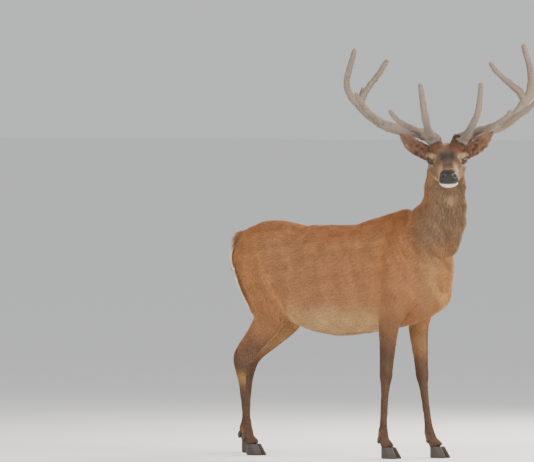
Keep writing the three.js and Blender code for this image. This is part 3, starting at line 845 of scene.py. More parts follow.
def markings(place: Place) -> Array:
    """Colours of the coat and skin at points of the surface.

    Args:
        place: the points, sorted among the forms.

    Returns:
        Linear colours, one row each.
    """
    p = place.points
    x, y, z = p.T
    soft = wave(p, 160, 3)
    colour = np.tile(Tone.FLANK.linear, (len(p), 1))
    colour = tinted(colour, Tone.BACK, step(1020, 1130, z + 12 * soft) * 0.8)
    underside = step(790, 640, z + 26 * soft) * step(-300, -200, x) * step(350, 270, x) * (1 - place.leg())
    colour = tinted(colour, Tone.BELLY, underside)
    colour = tinted(colour, Tone.RUMP_EDGE, underside * step(622, 606, z) * step(90, 40, np.abs(y)) * 0.4)
    mane = np.clip(place.normal[:, 0] * 0.6 + 0.85, 0.45, 1)
    neck = step(440, 600, x + 0.42 * (z - 1000) + 26 * soft) * step(860, 1120, z + 30 * soft) * (x > 380)
    neck *= 1 - step(0.3, 0.8, place.weight["head"])
    colour = tinted(colour, Tone.NECK, neck * mane)
    colour = tinted(colour, Tone.CHEST, step(470, 580, x) * step(1060, 900, z) * step(640, 760, z) * 0.8)
    crest = bump(y + 10, 0, 30) * step(1120, 1260, z) * (x < 575)
    colour = tinted(colour, Tone.FOREHEAD, neck * crest * 0.35)
    across = 0.848 * x + 0.530 * y
    colour = tinted(colour, Tone.PALE, bump(z, 1258, 22) * bump(across, 522, 24) * place.weight["neck"] * 0.7)
    colour = tinted(colour, Tone.LEG, step(780, 520, z + 30 * soft + 90 * (x < 0)) * place.leg())
    colour = tinted(colour, Tone.LEG, step(900, 700, z) * place.leg() * 0.15)
    inner = step(0.25, -0.5, place.normal[:, 1] * np.sign(y)) * place.leg()
    colour = tinted(colour, Tone.INNER_LEG, inner * step(420, 560, z) * 0.7)
    rearward = -place.normal[:, 0] + 0.05 * soft + 0.13 * step(940, 850, z)
    behind = step(-270, -360, x + 0.3 * (1000 - z)) * step(590, 670, z) * step(1110, 1070, z)
    colour = tinted(colour, Tone.RUMP_EDGE, bump(rearward, 0.56, 0.13) * behind * 0.7)
    colour = tinted(colour, Tone.RUMP, step(0.64, 0.76, rearward) * behind)
    colour = tinted(colour, Tone.TAIL, place.weight["tail"] * step(-540, -575, x) * 1.3)
    fetlock = bump(z, 110, 26) * step(0.1, -0.6, place.normal[:, 0]) * place.leg()
    colour = tinted(colour, Tone.INNER_LEG, fetlock * 0.5)
    gland = bump(z, 372, 34) * (place.weight["hindleg_right"] + place.weight["hindleg_left"])
    colour = tinted(colour, Tone.CHEST, gland * step(0.2, 0.7, place.normal[:, 1] * np.sign(y)) * 0.7)
    scars = sum(bump(x, a, 9) * bump(z, b, 15) for a, b in ((-107, 1032), (-195, 907))) * (y < 0)
    colour = tinted(colour, Tone.RUMP_EDGE, scars * 0.6)
    colour = head_colours(place.head, colour, place.weight["head"] ** 0.7)
    inside = (place.normal @ HEAD.turn()[:, 0]) > 0.15
    rim = step(0.86, 1.0, place.ear_along) + step(0.12, 0.04, np.abs(place.normal @ HEAD.turn()[:, 0]))
    colour = tinted(colour, Tone.EAR_BACK, place.ear)
    colour = tinted(colour, Tone.EAR_INSIDE, place.ear * inside)
    pocket = bump(place.ear_along, 0.42, 0.2) * step(-0.2, 0.7, wave(p, 26, 51))
    colour = tinted(colour, Tone.EAR_POCKET, place.ear * inside * pocket * 0.8)
    colour = tinted(colour, Tone.PALE, place.ear * inside * step(0.4, 0.9, wave(p, 15, 52)) * 0.6)
    colour = tinted(colour, Tone.FOREHEAD, place.ear * rim * 0.8)
    return colour * (1 + 0.13 * wave(p, 70, 5) + 0.10 * wave(p, 19, 6))[:, None]


# ------------------------------------------------------------------ sculpting
def eye_frame(s: int) -> tuple[Array, Array, Array, Array]:
    """Centre, outward look, long axis and upright of one eye in the head's frame.

    Args:
        s: -1 for the right eye, 1 for the left.

    Returns:
        The point and the three unit ways.
    """
    centre = EYE_AT * np.array([1, s, 1])
    look = unit(EYE_LOOK * np.array([1, s, 1]))
    long = unit(np.cross(look, np.array([0, 0, 1.0])) * s)
    long = unit(long - np.array([0, 0, 0.28]) * np.sign(long[0]))
    long = unit(long - look * (long @ look))
    return centre, look, long, np.cross(long, look) * (1 if np.cross(long, look)[2] > 0 else -1)


EYE_LONG, EYE_TALL = 16.5, 10.5


def open_eyes(q: Array) -> Array:
    """Pulls the head's surface into sockets, with lids that stand over the eyeball.

    Args:
        q: points in the head's frame.

    Returns:
        The moved points.
    """
    for s in SIDES.values():
        centre, look, long, upright = eye_frame(s)
        off = q - centre
        far = np.linalg.norm(off, axis=1)
        front = off @ look
        scale = EYE_RADIUS / np.maximum(far, 1)
        a, b = off @ long * scale / EYE_LONG, off @ upright * scale / EYE_TALL
        open_ = np.sqrt(a * a + b * b)
        near = (front > 0) & (far < 60)
        inside = EYE_RADIUS - 4.0
        lid = EYE_RADIUS + 2.8 + 1.6 * (b > 0)
        wanted = np.where(open_ < 0.96, inside, lid)
        pull = np.where(open_ < 0.96, 1.0, step(2.1, 1.15, open_)) * near
        crease = bump(open_, 1.75, 0.22) * 1.6 * (b > -0.3) * near
        target = far * (1 - pull) + wanted * pull - crease
        q = np.where(near[:, None], centre + off / np.maximum(far, 1)[:, None] * target[:, None], q)
    return q


def sculpt_head(q: Array, n: Array, amount: Array) -> Array:
    """Adds the features of the face to points of the head's frame.

    Args:
        q: points in the head's frame.
        n: their normals in that frame.
        amount: how much each point belongs to the skull.

    Returns:
        The moved points.
    """
    x, y, z = q.T
    side = np.abs(y)
    lift = np.zeros(len(q))
    lift -= 3.5 * bump(side, 0, 26) * bump(x, 130, 55) * step(30, 50, z)             # dip of the forehead
    lift += 2.0 * bump(side, 20, 9) * step(190, 240, x) * step(360, 320, x) * (z > 0)     # bridge's edges
    cheek = bump(z - (4 - 0.22 * (x - 100)), -26, 13) * step(40, 90, x) * step(255, 200, x)
    lift += 4.5 * cheek * step(30, 50, side)                                         # cheek ridge
    lift += 4.0 * bump(x, 60, 46) * bump(z, -62, 34) * step(30, 50, side)            # jaw muscle
    lift -= 4.0 * bump(x, 250, 34) * bump(z, -24, 16) * step(24, 40, side)           # hollow of the cheek
    lift -= 5.0 * bump(x, 190, 20) * bump(z, 12, 22) * step(36, 56, side)            # hollow before the eye
    slit = bump(z - (2 + 0.30 * (196 - x)), 0, 2.6) * step(176, 184, x) * step(222, 206, x)
    lift -= 5.5 * slit * step(30, 44, side)
    lift += 1.8 * bump(z - (2 + 0.30 * (196 - x)), 0, 8) * bump(x, 198, 20) * step(30, 44, side)
    mouth = bump(z - (-37 + 0.05 * (395 - x)), 0, 2.6) * step(292, 312, x) * step(405, 396, x)
    lift -= 4.5 * mouth
    lift += 2.2 * bump(z, -46, 7) * step(330, 350, x)                                # lower lip
    lift += 2.5 * bump(z, -27, 8) * step(310, 345, x) * step(12, 26, side)           # upper lip
    nostril = np.exp(-((x - 388) / 11) ** 2 - ((side - 28) / 7.5) ** 2 - ((z + 1) / 6.5) ** 2)
    lift -= 13 * nostril
    lift -= 5 * np.exp(-((x - 374) / 9) ** 2 - ((side - 40) / 8) ** 2 - ((z - 7) / 4) ** 2)
    lift += 2.4 * np.exp(-((x - 380) / 14) ** 2 - ((side - 31) / 8) ** 2 - ((z - 4) / 9) ** 2)
    lift -= 1.8 * bump(side, 0, 2.2) * step(380, 390, x) * step(-36, -30, z) * step(8, 0, z)
    q = q + n * (lift * amount)[:, None]
    return open_eyes(q)


def sculpt_body(place: Place) -> Array:
    """Muscles, ribs and folds of the trunk, neck and legs, as a lift along the normal in millimetres.

    Args:
        place: the points, sorted among the forms.

    Returns:
        The lift at each point.
    """
    x, y, z = place.points.T
    trunk, neck = place.weight["trunk"], place.weight["neck"]
    side = step(40, 110, np.abs(y))
    blade = x - 0.34 * (z - 900)
    lift = 7 * bump(blade, 395, 26) * step(820, 900, z) * step(1150, 1080, z) * side
    lift -= 6 * bump(blade, 318, 30) * step(760, 860, z) * step(1110, 1040, z) * side
    lift -= 7 * bump(blade, 470, 24) * step(780, 880, z) * step(1100, 1020, z) * side
    ribs = np.sin((x + 0.25 * (z - 850)) / 52 * 2 * np.pi) * step(-170, -60, x) * step(280, 180, x)
    lift += 0.5 * ribs * (1 + wave(place.points, 300, 8)) * step(700, 780, z) * step(1020, 940, z) * side
    lift -= 12 * bump(x, -175, 46) * bump(z, 905 - 0.8 * (x + 175), 85) * side       # hollow of the flank
    lift += 7 * bump(x, -205 + 0.2 * (z - 700), 20) * bump(z, 705, 60) * side        # fold of the stifle
    lift += 6 * bump(x, -265, 34) * bump(z, 1075, 30) * side                         # point of the hip
    lift -= 5 * bump(z - (1.5 * (x + 520) + 900), 0, 30) * step(-420, -500, x) * side
    lift *= np.maximum(trunk, place.leg())
    folds = np.sin((x + 0.5 * (z - 1100)) / 27 * 2 * np.pi + 0.02 * z) * bump(x, 430, 60) * bump(z, 1010, 90)
    lift += 1.5 * folds * side
    throat = wave(place.points, 90, 12)
    lift += neck * (3.0 * throat - 4 * bump(place.normal[:, 1] * np.sign(y), 0.75, 0.2) * step(1130, 1220, z))
    tendon = bump(place.normal[:, 0], -0.25, 0.3) * step(0.5, 0.8, np.abs(place.normal[:, 1]))
    lift -= 2.2 * tendon * step(390, 350, z) * step(120, 150, z) * place.leg()
    tendon = bump(place.normal[:, 0], 0.0, 0.35) * bump(z, 560, 60) * step(-300, -360, x)
    lift -= 6.0 * tendon * place.leg()                              # hollow before the heel tendon
    return lift


def refine(mesh: bpy.types.Mesh, centre: Array, radius: float) -> None:
    """Splits the faces round a point of the trunk's frame in four.

    Args:
        mesh: changed in place.
        centre: the point.
        radius: in millimetres.
    """
    bm = bmesh.new()
    bm.from_mesh(mesh)
    at = Vector((centre + ORIGIN) * MM)
    edges = [e for e in bm.edges if all((v.co - at).length < radius * MM for v in e.verts)]
    bmesh.ops.subdivide_edges(bm, edges=edges, cuts=1, use_grid_fill=True)
    bmesh.ops.triangulate(bm, faces=[f for f in bm.faces if len(f.verts) > 4])
    bm.to_mesh(mesh)
    bm.free()


HEAD_CUT_AT = np.array([626.0, -48.0, 1312.0])
HEAD_CUT_NORMAL = np.array([0.338, -0.531, 0.777])
BODY_GRID, HEAD_GRID = 9.8, 2.9
KNEE_HIGH = 560                                   # below it the thin legs are smoothed less
SKIN_ROUNDS = 9                                   # rounds of smoothing over all the skin
NECK_SEAM_X, NECK_SEAM_ROUNDS = 505, 80           # the foot of the neck is smoothed into the breast


def build_skin() -> bpy.types.Object:
    """The whole skin: one surface, finer over the head.

    Returns:
        The skin, with smooth faces.
    """
    shells = [form.shell() for form in FLESH]
    crown = [form.shell() for form in FLESH if form.name in ("neck", "head")]
    low = remeshed("low", shells, BODY_GRID)
    high = remeshed("high", crown + loft_head_extras(), HEAD_GRID)
    cut(low, HEAD_CUT_AT, HEAD_CUT_NORMAL, False)
    cut(high, HEAD_CUT_AT, HEAD_CUT_NORMAL, True)
    mesh = bridged(low, high)
    q = HEAD.into(coordinates(mesh))
    height = coordinates(mesh)[:, 2]
    calm = np.where(height > KNEE_HIGH, 1.0, 0.45) * np.where(np.abs(q[:, 1]) > 90, 0.5, 1.0)
    relax(mesh, calm, SKIN_ROUNDS)
    x, _, z = coordinates(mesh).T
    seam = 2.0 * bump(x, NECK_SEAM_X, 85) * step(730, 800, z) * step(1220, 1120, z)
    relax(mesh, np.minimum(1, seam), NECK_SEAM_ROUNDS)
    for s in SIDES.values():
        refine(mesh, HEAD.out(eye_frame(s)[0][None])[0], 40)
    refine(mesh, HEAD.out(np.array([[392.0, 0, -10]]))[0], 42)
    place = Place.of(coordinates(mesh), normals(mesh))
    points = place.points + place.normal * (sculpt_body(place) * (1 - place.weight["head"]))[:, None]
    amount = step(0.3, 0.7, place.weight["head"]) * (1 - place.ear)
    q = sculpt_head(HEAD.into(points), place.normal @ HEAD.turn(), amount)
    points = np.where((place.points[:, 2] > 1200)[:, None], HEAD.out(q), points)
    set_coordinates(mesh, points)
    skin = bpy.data.objects.new("skin", mesh)
    bpy.context.scene.collection.objects.link(skin)
    for polygon in mesh.polygons:
        polygon.use_smooth = True
    return skin


def paint(mesh: bpy.types.Mesh, colours: Array, name: str = "marking") -> None:
    """Stores a colour for every vertex."""
    layer = mesh.color_attributes.new(name, "FLOAT_COLOR", "POINT")
    rgba = np.ones((len(colours), 4))
    rgba[:, :3] = np.clip(colours, 0, 1)
    layer.data.foreach_set("color", rgba.ravel())


def set_uv(mesh: bpy.types.Mesh, name: str, uv: Array) -> None:
    """Stores a UV place for every vertex."""
    layer = mesh.uv_layers.new(name=name)
    corner = np.empty(len(mesh.loops), int)
    mesh.loops.foreach_get("vertex_index", corner)
    layer.data.foreach_set("uv", uv[corner].ravel())


# ------------------------------------------------------------------ the coat
@dataclass
class Tufts:
    """Roots and shapes of many tufts, in millimetres."""

    root: Array
    normal: Array
    lie: Array
    length: Array
    width: Array
    lift: Array
    colour: Array
    uv: Array

    def build(self, name: str) -> bpy.types.Mesh:
        """Joins the tufts in one mesh: three-sided, bent, closed, each with its own patch of the unwrap.

        Args:
            name: of the mesh.

        Returns:
            The joined mesh.
        """
        n = len(self.root)
        across = unit(np.cross(self.normal, self.lie))
        length, width, lift = (v[:, None] for v in (self.length, self.width, self.lift))
        base = self.root - self.normal * width * 0.35
        middle = self.root + self.lie * length * 0.45 + self.normal * (length * lift * 0.75 + width * 0.15)
        tip = self.root + self.lie * length + self.normal * length * lift
        corners = [
            base - across * width * 0.4, base + across * width * 0.4, base + self.normal * width * 0.6,
            middle - across * width * 0.5, middle + across * width * 0.5,
            middle + self.normal * width * 0.36, tip]
        points = np.stack(corners, 1).reshape(-1, 3)
        quads = np.array([[0, 1, 4, 3], [1, 2, 5, 4], [2, 0, 3, 5]])
        caps = np.array([[0, 2, 1], [3, 4, 6], [4, 5, 6], [5, 3, 6]])
        first = (np.arange(n) * 7)[:, None]
        loops = np.concatenate([(first + quads.ravel()), (first + caps.ravel())], 1)
        sizes = np.tile([4, 4, 4, 3, 3, 3, 3], n)
        mesh = bpy.data.meshes.new(name)
        mesh.vertices.add(len(points))
        mesh.vertices.foreach_set("co", ((points + ORIGIN) * MM).ravel())
        mesh.loops.add(loops.size)
        mesh.loops.foreach_set("vertex_index", loops.ravel())
        mesh.polygons.add(len(sizes))
        starts = np.concatenate([[0], np.cumsum(sizes)[:-1]])
        mesh.polygons.foreach_set("loop_start", starts)
        mesh.polygons.foreach_set("use_smooth", np.ones(len(sizes), bool))
        mesh.update(calc_edges=True)
        # painted shade and painted highlight: each tuft is darkest at its root, a little lighter along its
        # top ridge than on its sides, and lightest at its tip
        shade = np.array([0.80, 0.80, 0.84, 1.0, 1.0, 1.03, 1.10])
        paint(mesh, (self.colour[:, None] * shade[None, :, None]).reshape(-1, 3))
        spot = np.array([[-1, -1], [1, -1], [0, -1], [-1, 0], [1, 0], [0, 0], [0, 1]]) * 0.0015
        set_uv(mesh, "OFBake", (self.uv[:, None] + spot[None]).reshape(-1, 2))
        return mesh

    def take(self, chosen: Array) -> "Tufts":
        """The chosen tufts only."""
        return Tufts(*(getattr(self, name)[chosen] for name in self.__dataclass_fields__))


def sample(mesh: bpy.types.Mesh, density: Array, rng: np.random.Generator) -> tuple[Array, Array]:
    """Random roots on a mesh.

    Args:
        mesh: surface that carries the tufts.
        density: tufts per square millimetre at each vertex.
        rng: source of randomness.

    Returns:
        Points and smooth normals in the trunk's frame.
    """
    mesh.calc_loop_triangles()
    corners = np.empty(len(mesh.loop_triangles) * 3, int)
    mesh.loop_triangles.foreach_get("vertices", corners)
    corners = corners.reshape(-1, 3)
    points, n = coordinates(mesh), normals(mesh)
    a, b, c = (points[corners[:, k]] for k in range(3))
    area = np.linalg.norm(np.cross(b - a, c - a), axis=1) / 2
    expected = area * density[corners].mean(1)
    # an even walk through the faces keeps the roots from bunching up
    total = np.cumsum(expected)
    picks = np.arange(0.5, total[-1]) + rng.uniform(-0.3, 0.3, int(total[-1] + 0.5))
    face = np.searchsorted(total, picks).clip(0, len(total) - 1)
    u, v = rng.random((2, len(face)))
    swap = u + v > 1
    u, v = np.where(swap, 1 - u, u), np.where(swap, 1 - v, v)
    w = np.stack([1 - u - v, u, v], 1)[..., None]
    spot = (points[corners[face]] * w).sum(1)
    return spot, unit((n[corners[face]] * w).sum(1))


def coat_table(place: Place) -> dict[str, Array]:
    """Length, width, lift and spacing of the coat at each point.

    Args:
        place: the points, sorted among the forms.

    Returns:
        One column for each measure.
    """
    rows = {key: sum(place.weight[f.name] * getattr(f.coat, key) for f in FLESH)
            for key in ("length", "width", "lift", "spacing")}
    x, _, z = place.points.T
    q = place.head
    low = place.leg() * step(560, 400, z)
    rows["length"] = rows["length"] * (1 - 0.42 * low)
    rows["width"] = rows["width"] * (1 - 0.2 * low)
    rows["spacing"] = rows["spacing"] * (1 - 0.22 * low)
    belly = step(640, 600, z) * place.weight["trunk"]
    rows["length"] = rows["length"] * (1 + 0.5 * belly)
    rows["lift"] = rows["lift"] + 0.08 * belly
    throat = place.weight["neck"] * step(0.0, 0.8, place.normal[:, 0])
    rows["length"] = rows["length"] * (1 + 0.35 * throat)
    rows["lift"] = rows["lift"] + 0.10 * throat
    rump = step(-520, -560, x) * step(700, 780, z) * (z < 1090)
    rows["length"] = rows["length"] * (1 + 0.35 * rump)
    rows["lift"] = rows["lift"] + 0.08 * rump
    muzzle = place.weight["head"] * step(180, 330, q[:, 0])
    rows["length"] = rows["length"] * (1 - 0.42 * muzzle)
    rows["width"] = rows["width"] * (1 - 0.35 * muzzle)
    crown = place.weight["head"] * step(110, 40, q[:, 0]) * step(20, 50, q[:, 2])
    rows["length"] = rows["length"] * (1 + 0.8 * crown)
    rows["lift"] = rows["lift"] + 0.14 * crown
    inside = (place.normal @ HEAD.turn()[:, 0]) > 0.15
    ear = place.ear
    rows["length"] = rows["length"] * (1 - ear) + ear * np.where(inside, 13, 6)
    rows["width"] = rows["width"] * (1 - ear) + ear * np.where(inside, 1.1, 1.4)
    rows["lift"] = rows["lift"] * (1 - ear) + ear * np.where(inside, 0.20, 0.10)
    rows["spacing"] = rows["spacing"] * (1 - ear) + ear * np.where(inside, 2.9, 2.8)
    return rows


def bare(place: Place) -> Array:
    """1 where the skin carries no tufts: nose pad, eyes, nostrils and lips.

    Args:
        place: the points, sorted among the forms.

    Returns:
        1 or 0 for each point.
    """
    q = place.head
    x, z = q[:, 0], q[:, 2]
    y = np.abs(q[:, 1])
    pad = (x - 0.35 * (z - 10) > 357) & (y < 42) & (z > -37)
    lips = (x > 300) & (np.abs(z - (-37 + 0.05 * (395 - x))) < 4.5)
    eyes = np.zeros(len(q), bool)
    for s in SIDES.values():
        centre, look, long, upright = eye_frame(s)
        off = q - centre
        a, b = off @ long / EYE_LONG, off @ upright / EYE_TALL
        eyes |= (a * a + b * b < 1.45 ** 2) & (off @ look > 0)
    return ((pad | lips | eyes) & (place.weight["head"] > 0.3)).astype(float)


def grow_coat(skin: bpy.types.Object) -> Tufts:
    """Roots tufts all over the skin.

    Args:
        skin: the finished skin.

    Returns:
        The tufts of the whole coat.
    """
    rng = np.random.default_rng(SEED)
    mesh = skin.data
    vertices = Place.of(coordinates(mesh), normals(mesh))
    table = coat_table(vertices)
    thin = 1.0
    density = thin * (1 - bare(vertices)) / table["spacing"] ** 2
    root, normal = sample(mesh, density, rng)
    place = Place.of(root, normal)
    table = coat_table(place)
    count = len(root)
    wide = 1.0
    swirl = rng.normal(0, 0.12, count) + 0.10 * wave(root, 150, 21)
    across = np.cross(normal, place.lie)
    lie = unit(place.lie * np.cos(swirl)[:, None] + across * np.sin(swirl)[:, None])
    colour = markings(place) * np.exp(rng.normal(0, 0.09, count))[:, None]
    LOG.info("coat: %d tufts", count)
    return Tufts(root, normal, lie, table["length"] * rng.uniform(0.75, 1.25, count),
                 table["width"] * rng.uniform(0.8, 1.2, count) * wide,
                 table["lift"] * rng.uniform(0.5, 1.5, count), colour, place.unwrapped())


# ------------------------------------------------------------------ materials
class Value:
    """A shader socket that can be added, multiplied and mixed."""

    def __init__(self, shader: "Shader", socket: bpy.types.NodeSocket) -> None:
        """Keeps the socket with the shader whose tree it is in."""
        self.shader = shader
        self.socket = socket

    def _math(self, kind: str, first: "Value | float", second: "Value | float") -> "Value":
        """A Math node on two values."""
        return self.shader.node("ShaderNodeMath", {0: first, 1: second}, operation=kind)

    def __add__(self, other: "Value | float") -> "Value":
        """The sum with a value or number."""
        return self._math("ADD", self, other)

    def __radd__(self, other: "Value | float") -> "Value":
        """The sum from a number on the left."""
        return self._math("ADD", other, self)

    def __mul__(self, other: "Value | float") -> "Value":
        """The product with a value or number."""
        return self._math("MULTIPLY", self, other)

    def __rmul__(self, other: "Value | float") -> "Value":
        """The product from a number on the left."""
        return self._math("MULTIPLY", other, self)

    def __sub__(self, other: "Value | float") -> "Value":
        """The difference with a value or number."""
        return self._math("SUBTRACT", self, other)

    def __rsub__(self, other: "Value | float") -> "Value":
        """The difference from a number on the left."""
        return self._math("SUBTRACT", other, self)


class Shader:
    """Builds one material."""

    def __init__(self, name: str) -> None:
        """Starts a material of the given name."""
        self.material = bpy.data.materials.new(name)
        self.material.use_nodes = True
        self.tree = self.material.node_tree
        self.surface = self.tree.nodes["Principled BSDF"]

    def node(self, kind: str, inputs: dict, output: int | str = 0, **settings: object) -> Value:
        """Adds a node.

        Args:
            kind: the node's type.
            inputs: values or numbers for its sockets, by index or name.
            output: which output to return.
            **settings: properties of the node.

        Returns:
            The chosen output.
        """
        made = self.tree.nodes.new(kind)
        for key, value in settings.items():
            setattr(made, key, value)
        for key, value in inputs.items():
            if isinstance(value, Value):
                self.tree.links.new(value.socket, made.inputs[key])
            else:
                made.inputs[key].default_value = value
        return Value(self, made.outputs[output])

    def attribute(self, name: str) -> Value:
        """Colour stored on the mesh."""
        return self.node("ShaderNodeAttribute", {}, "Color", attribute_name=name)

    def place(self) -> Value:
        """Object coordinates."""
        return self.node("ShaderNodeTexCoord", {}, "Object")

    def noise(self, where: Value, scale: float, detail: float = 3.0) -> Value:
        """Noise between 0 and 1."""
        return self.node("ShaderNodeTexNoise", {"Vector": where, "Scale": scale, "Detail": detail}, "Fac")

    def stretched(self, where: Value, factors: tuple[float, float, float]) -> Value:
        """Coordinates scaled along each axis."""
        return self.node("ShaderNodeVectorMath", {0: where, 1: factors}, operation="MULTIPLY")

    def shade(self, colour: Value, factor: Value) -> Value:
        """A colour made lighter or darker by a factor."""
        return self.node("ShaderNodeVectorMath", {0: colour, "Scale": factor}, operation="SCALE")

    def bump(self, height: Value, distance: float, strength: float = 1.0) -> Value:
        """Normal of a bumped surface."""
        sockets = {"Height": height, "Distance": distance, "Strength": strength}
        return self.node("ShaderNodeBump", sockets, "Normal")

    def finish(self, **sockets: object) -> bpy.types.Material:
        """Sets the surface's sockets, named with underscores for spaces.

        Args:
            sockets: values or links, by the name of the socket.

        Returns:
            The finished material.
        """
        for key, value in sockets.items():
            socket = self.surface.inputs[key.replace("_", " ")]
            if isinstance(value, Value):
                self.tree.links.new(value.socket, socket)
            else:
                socket.default_value = value
        return self.material


def skin_material() -> bpy.types.Material:
    """Short flat hair: the markings, with fine streaks along the lie of the coat.

    Returns:
        The material.
    """
    s = Shader("short_coat")
    uv = s.node("ShaderNodeUVMap", {}, uv_map="Lie")
    streak = s.noise(s.stretched(uv, (22.0, 260.0, 1.0)), 1.0, 2.0)
    grain = s.noise(s.place(), 420.0, 2.0)
    colour = s.shade(s.attribute("marking"), streak * 0.5 + grain * 0.3 + 0.5)
    return s.finish(Base_Color=colour, Roughness=0.78, Specular_IOR_Level=0.25,
                    Sheen_Weight=0.08, Sheen_Roughness=0.5, Normal=s.bump(streak + grain * 0.5, 0.0015, 0.8))


def tuft_material(name: str, sheen: float) -> bpy.types.Material:
    """Hair of the tufts."""
    s = Shader(name)
    grain = s.noise(s.place(), 300.0, 2.0)
    return s.finish(Base_Color=s.shade(s.attribute("marking"), grain * 0.5 + 0.75), Roughness=0.62,
                    Specular_IOR_Level=0.3, Sheen_Weight=sheen, Sheen_Roughness=0.4)


def velvet_material() -> bpy.types.Material:
    """Skin of the growing antlers."""
    s = Shader("velvet")
    patch = s.noise(s.place(), 26.0, 3.0)
    fine = s.noise(s.place(), 500.0, 2.0)
    colour = s.shade(s.attribute("marking"), patch * 0.6 + fine * 0.4 + 0.5)
    return s.finish(Base_Color=colour, Roughness=0.85,
                    Sheen_Weight=0.5, Sheen_Roughness=0.35, Normal=s.bump(fine + patch, 0.0012))


def hoof_material() -> bpy.types.Material:
    """Dark horn with growth rings."""
    s = Shader("hoof_horn")
    rings = s.noise(s.stretched(s.place(), (14.0, 14.0, 260.0)), 1.0, 2.0)
    tones = {0: rings, 6: (*srgb(34, 28, 24), 1), 7: (*srgb(74, 62, 52), 1)}
    colour = s.node("ShaderNodeMix", tones, 2, data_type="RGBA")
    return s.finish(Base_Color=colour, Roughness=0.5, Normal=s.bump(rings, 0.0008))


def nose_material() -> bpy.types.Material:
    """Moist black skin with a fine pebbled grain."""
    s = Shader("nose_skin")
    cells = s.node("ShaderNodeTexVoronoi", {"Vector": s.place(), "Scale": 420.0}, "Distance")
    return s.finish(Base_Color=(*Tone.NOSE.linear, 1), Roughness=0.42, Normal=s.bump(cells, 0.0004, 0.5))


def eye_material() -> bpy.types.Material:
    """Dark glossy eye."""
    s = Shader("eye_gloss")
    return s.finish(Base_Color=s.attribute("marking"), Roughness=0.10, Specular_IOR_Level=0.35,
                    Coat_Weight=0.35, Coat_Roughness=0.02)


def lid_material() -> bpy.types.Material:
    """Bare dark rim of the eyelids."""
    s = Shader("lid_skin")
    grain = s.noise(s.place(), 600.0)
    return s.finish(Base_Color=(*Tone.RIM.linear, 1), Roughness=0.42, Normal=s.bump(grain, 0.0003))


def plain_material(name: str, colour: tuple[float, float, float], roughness: float) -> bpy.types.Material:
    """One even colour."""
    return Shader(name).finish(Base_Color=(*colour, 1), Roughness=roughness)


# ------------------------------------------------------------------ pieces
@dataclass
class Stag:
    """Builds the animal's pieces and ties each to the frame."""

    nodes: list[str]

    def add(self, mesh: bpy.types.Mesh, name: str, material: bpy.types.Material, slot: str,
            stands_for: Sequence[str] = ()) -> bpy.types.Object:
        """Puts a finished mesh in the scene.

        Args:
            mesh: the piece's mesh.
            name: the piece's name.
            material: its material.
            slot: not used.
            stands_for: CAD nodes that it replaces.

        Returns:
            The object.
        """
        obj = bpy.data.objects.new(name, mesh)
        if obj.name not in bpy.context.scene.collection.objects:
            bpy.context.scene.collection.objects.link(obj)
        mesh.materials.clear()
        mesh.materials.append(material)
        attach(obj, "root")
        if stands_for:
            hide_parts(*stands_for)
        mesh.calc_loop_triangles()
        LOG.info("%s: %d triangles", name, len(mesh.loop_triangles))
        return obj

    def named(self, *starts: str) -> list[str]:
        """CAD nodes whose names begin so."""
        return [n for n in self.nodes if n.startswith(starts)]


RIGHT_ANTLER = {
    "beam": (
        (46, -62, 1516, 32), (41, -72, 1536, 34), (27, -104, 1556, 27), (-12, -160, 1570, 26),
        (-48, -223, 1581, 26), (-72, -282, 1596, 25), (-104, -330, 1620, 24), (-132, -374, 1652, 23),
        (-150, -410, 1690, 24), (-156, -432, 1716, 22)),
    "brow": (
        (44, -76, 1545, 22), (92, -92, 1572, 20), (142, -108, 1622, 18), (172, -120, 1690, 16),
        (184, -131, 1755, 14), (186, -137, 1791, 12)),
    "bez": (
        (18, -120, 1562, 18), (48, -152, 1580, 16), (84, -196, 1600, 15), (112, -240, 1626, 13),
        (124, -268, 1656, 12), (127, -277, 1671, 10)),
    "trez": (
        (-96, -312, 1612, 19), (-62, -344, 1636, 17), (-28, -382, 1668, 15), (2, -412, 1706, 13),
        (18, -431, 1736, 11), (22, -437, 1752, 9)),
    "outer": (
        (-152, -424, 1702, 21), (-152, -452, 1728, 18), (-144, -476, 1770, 17), (-130, -481, 1814, 16),
        (-112, -471, 1864, 15.5), (-96, -456, 1918, 14), (-88, -446, 1959, 12)),
    "inner": (
        (-154, -416, 1706, 19), (-158, -400, 1748, 17), (-152, -368, 1797, 15), (-140, -327, 1851, 14.5),
        (-129, -292, 1907, 12)),
    "back": ((-156, -424, 1704, 17), (-186, -416, 1732, 14), (-208, -408, 1760, 12), (-216, -405, 1776, 9)),
}
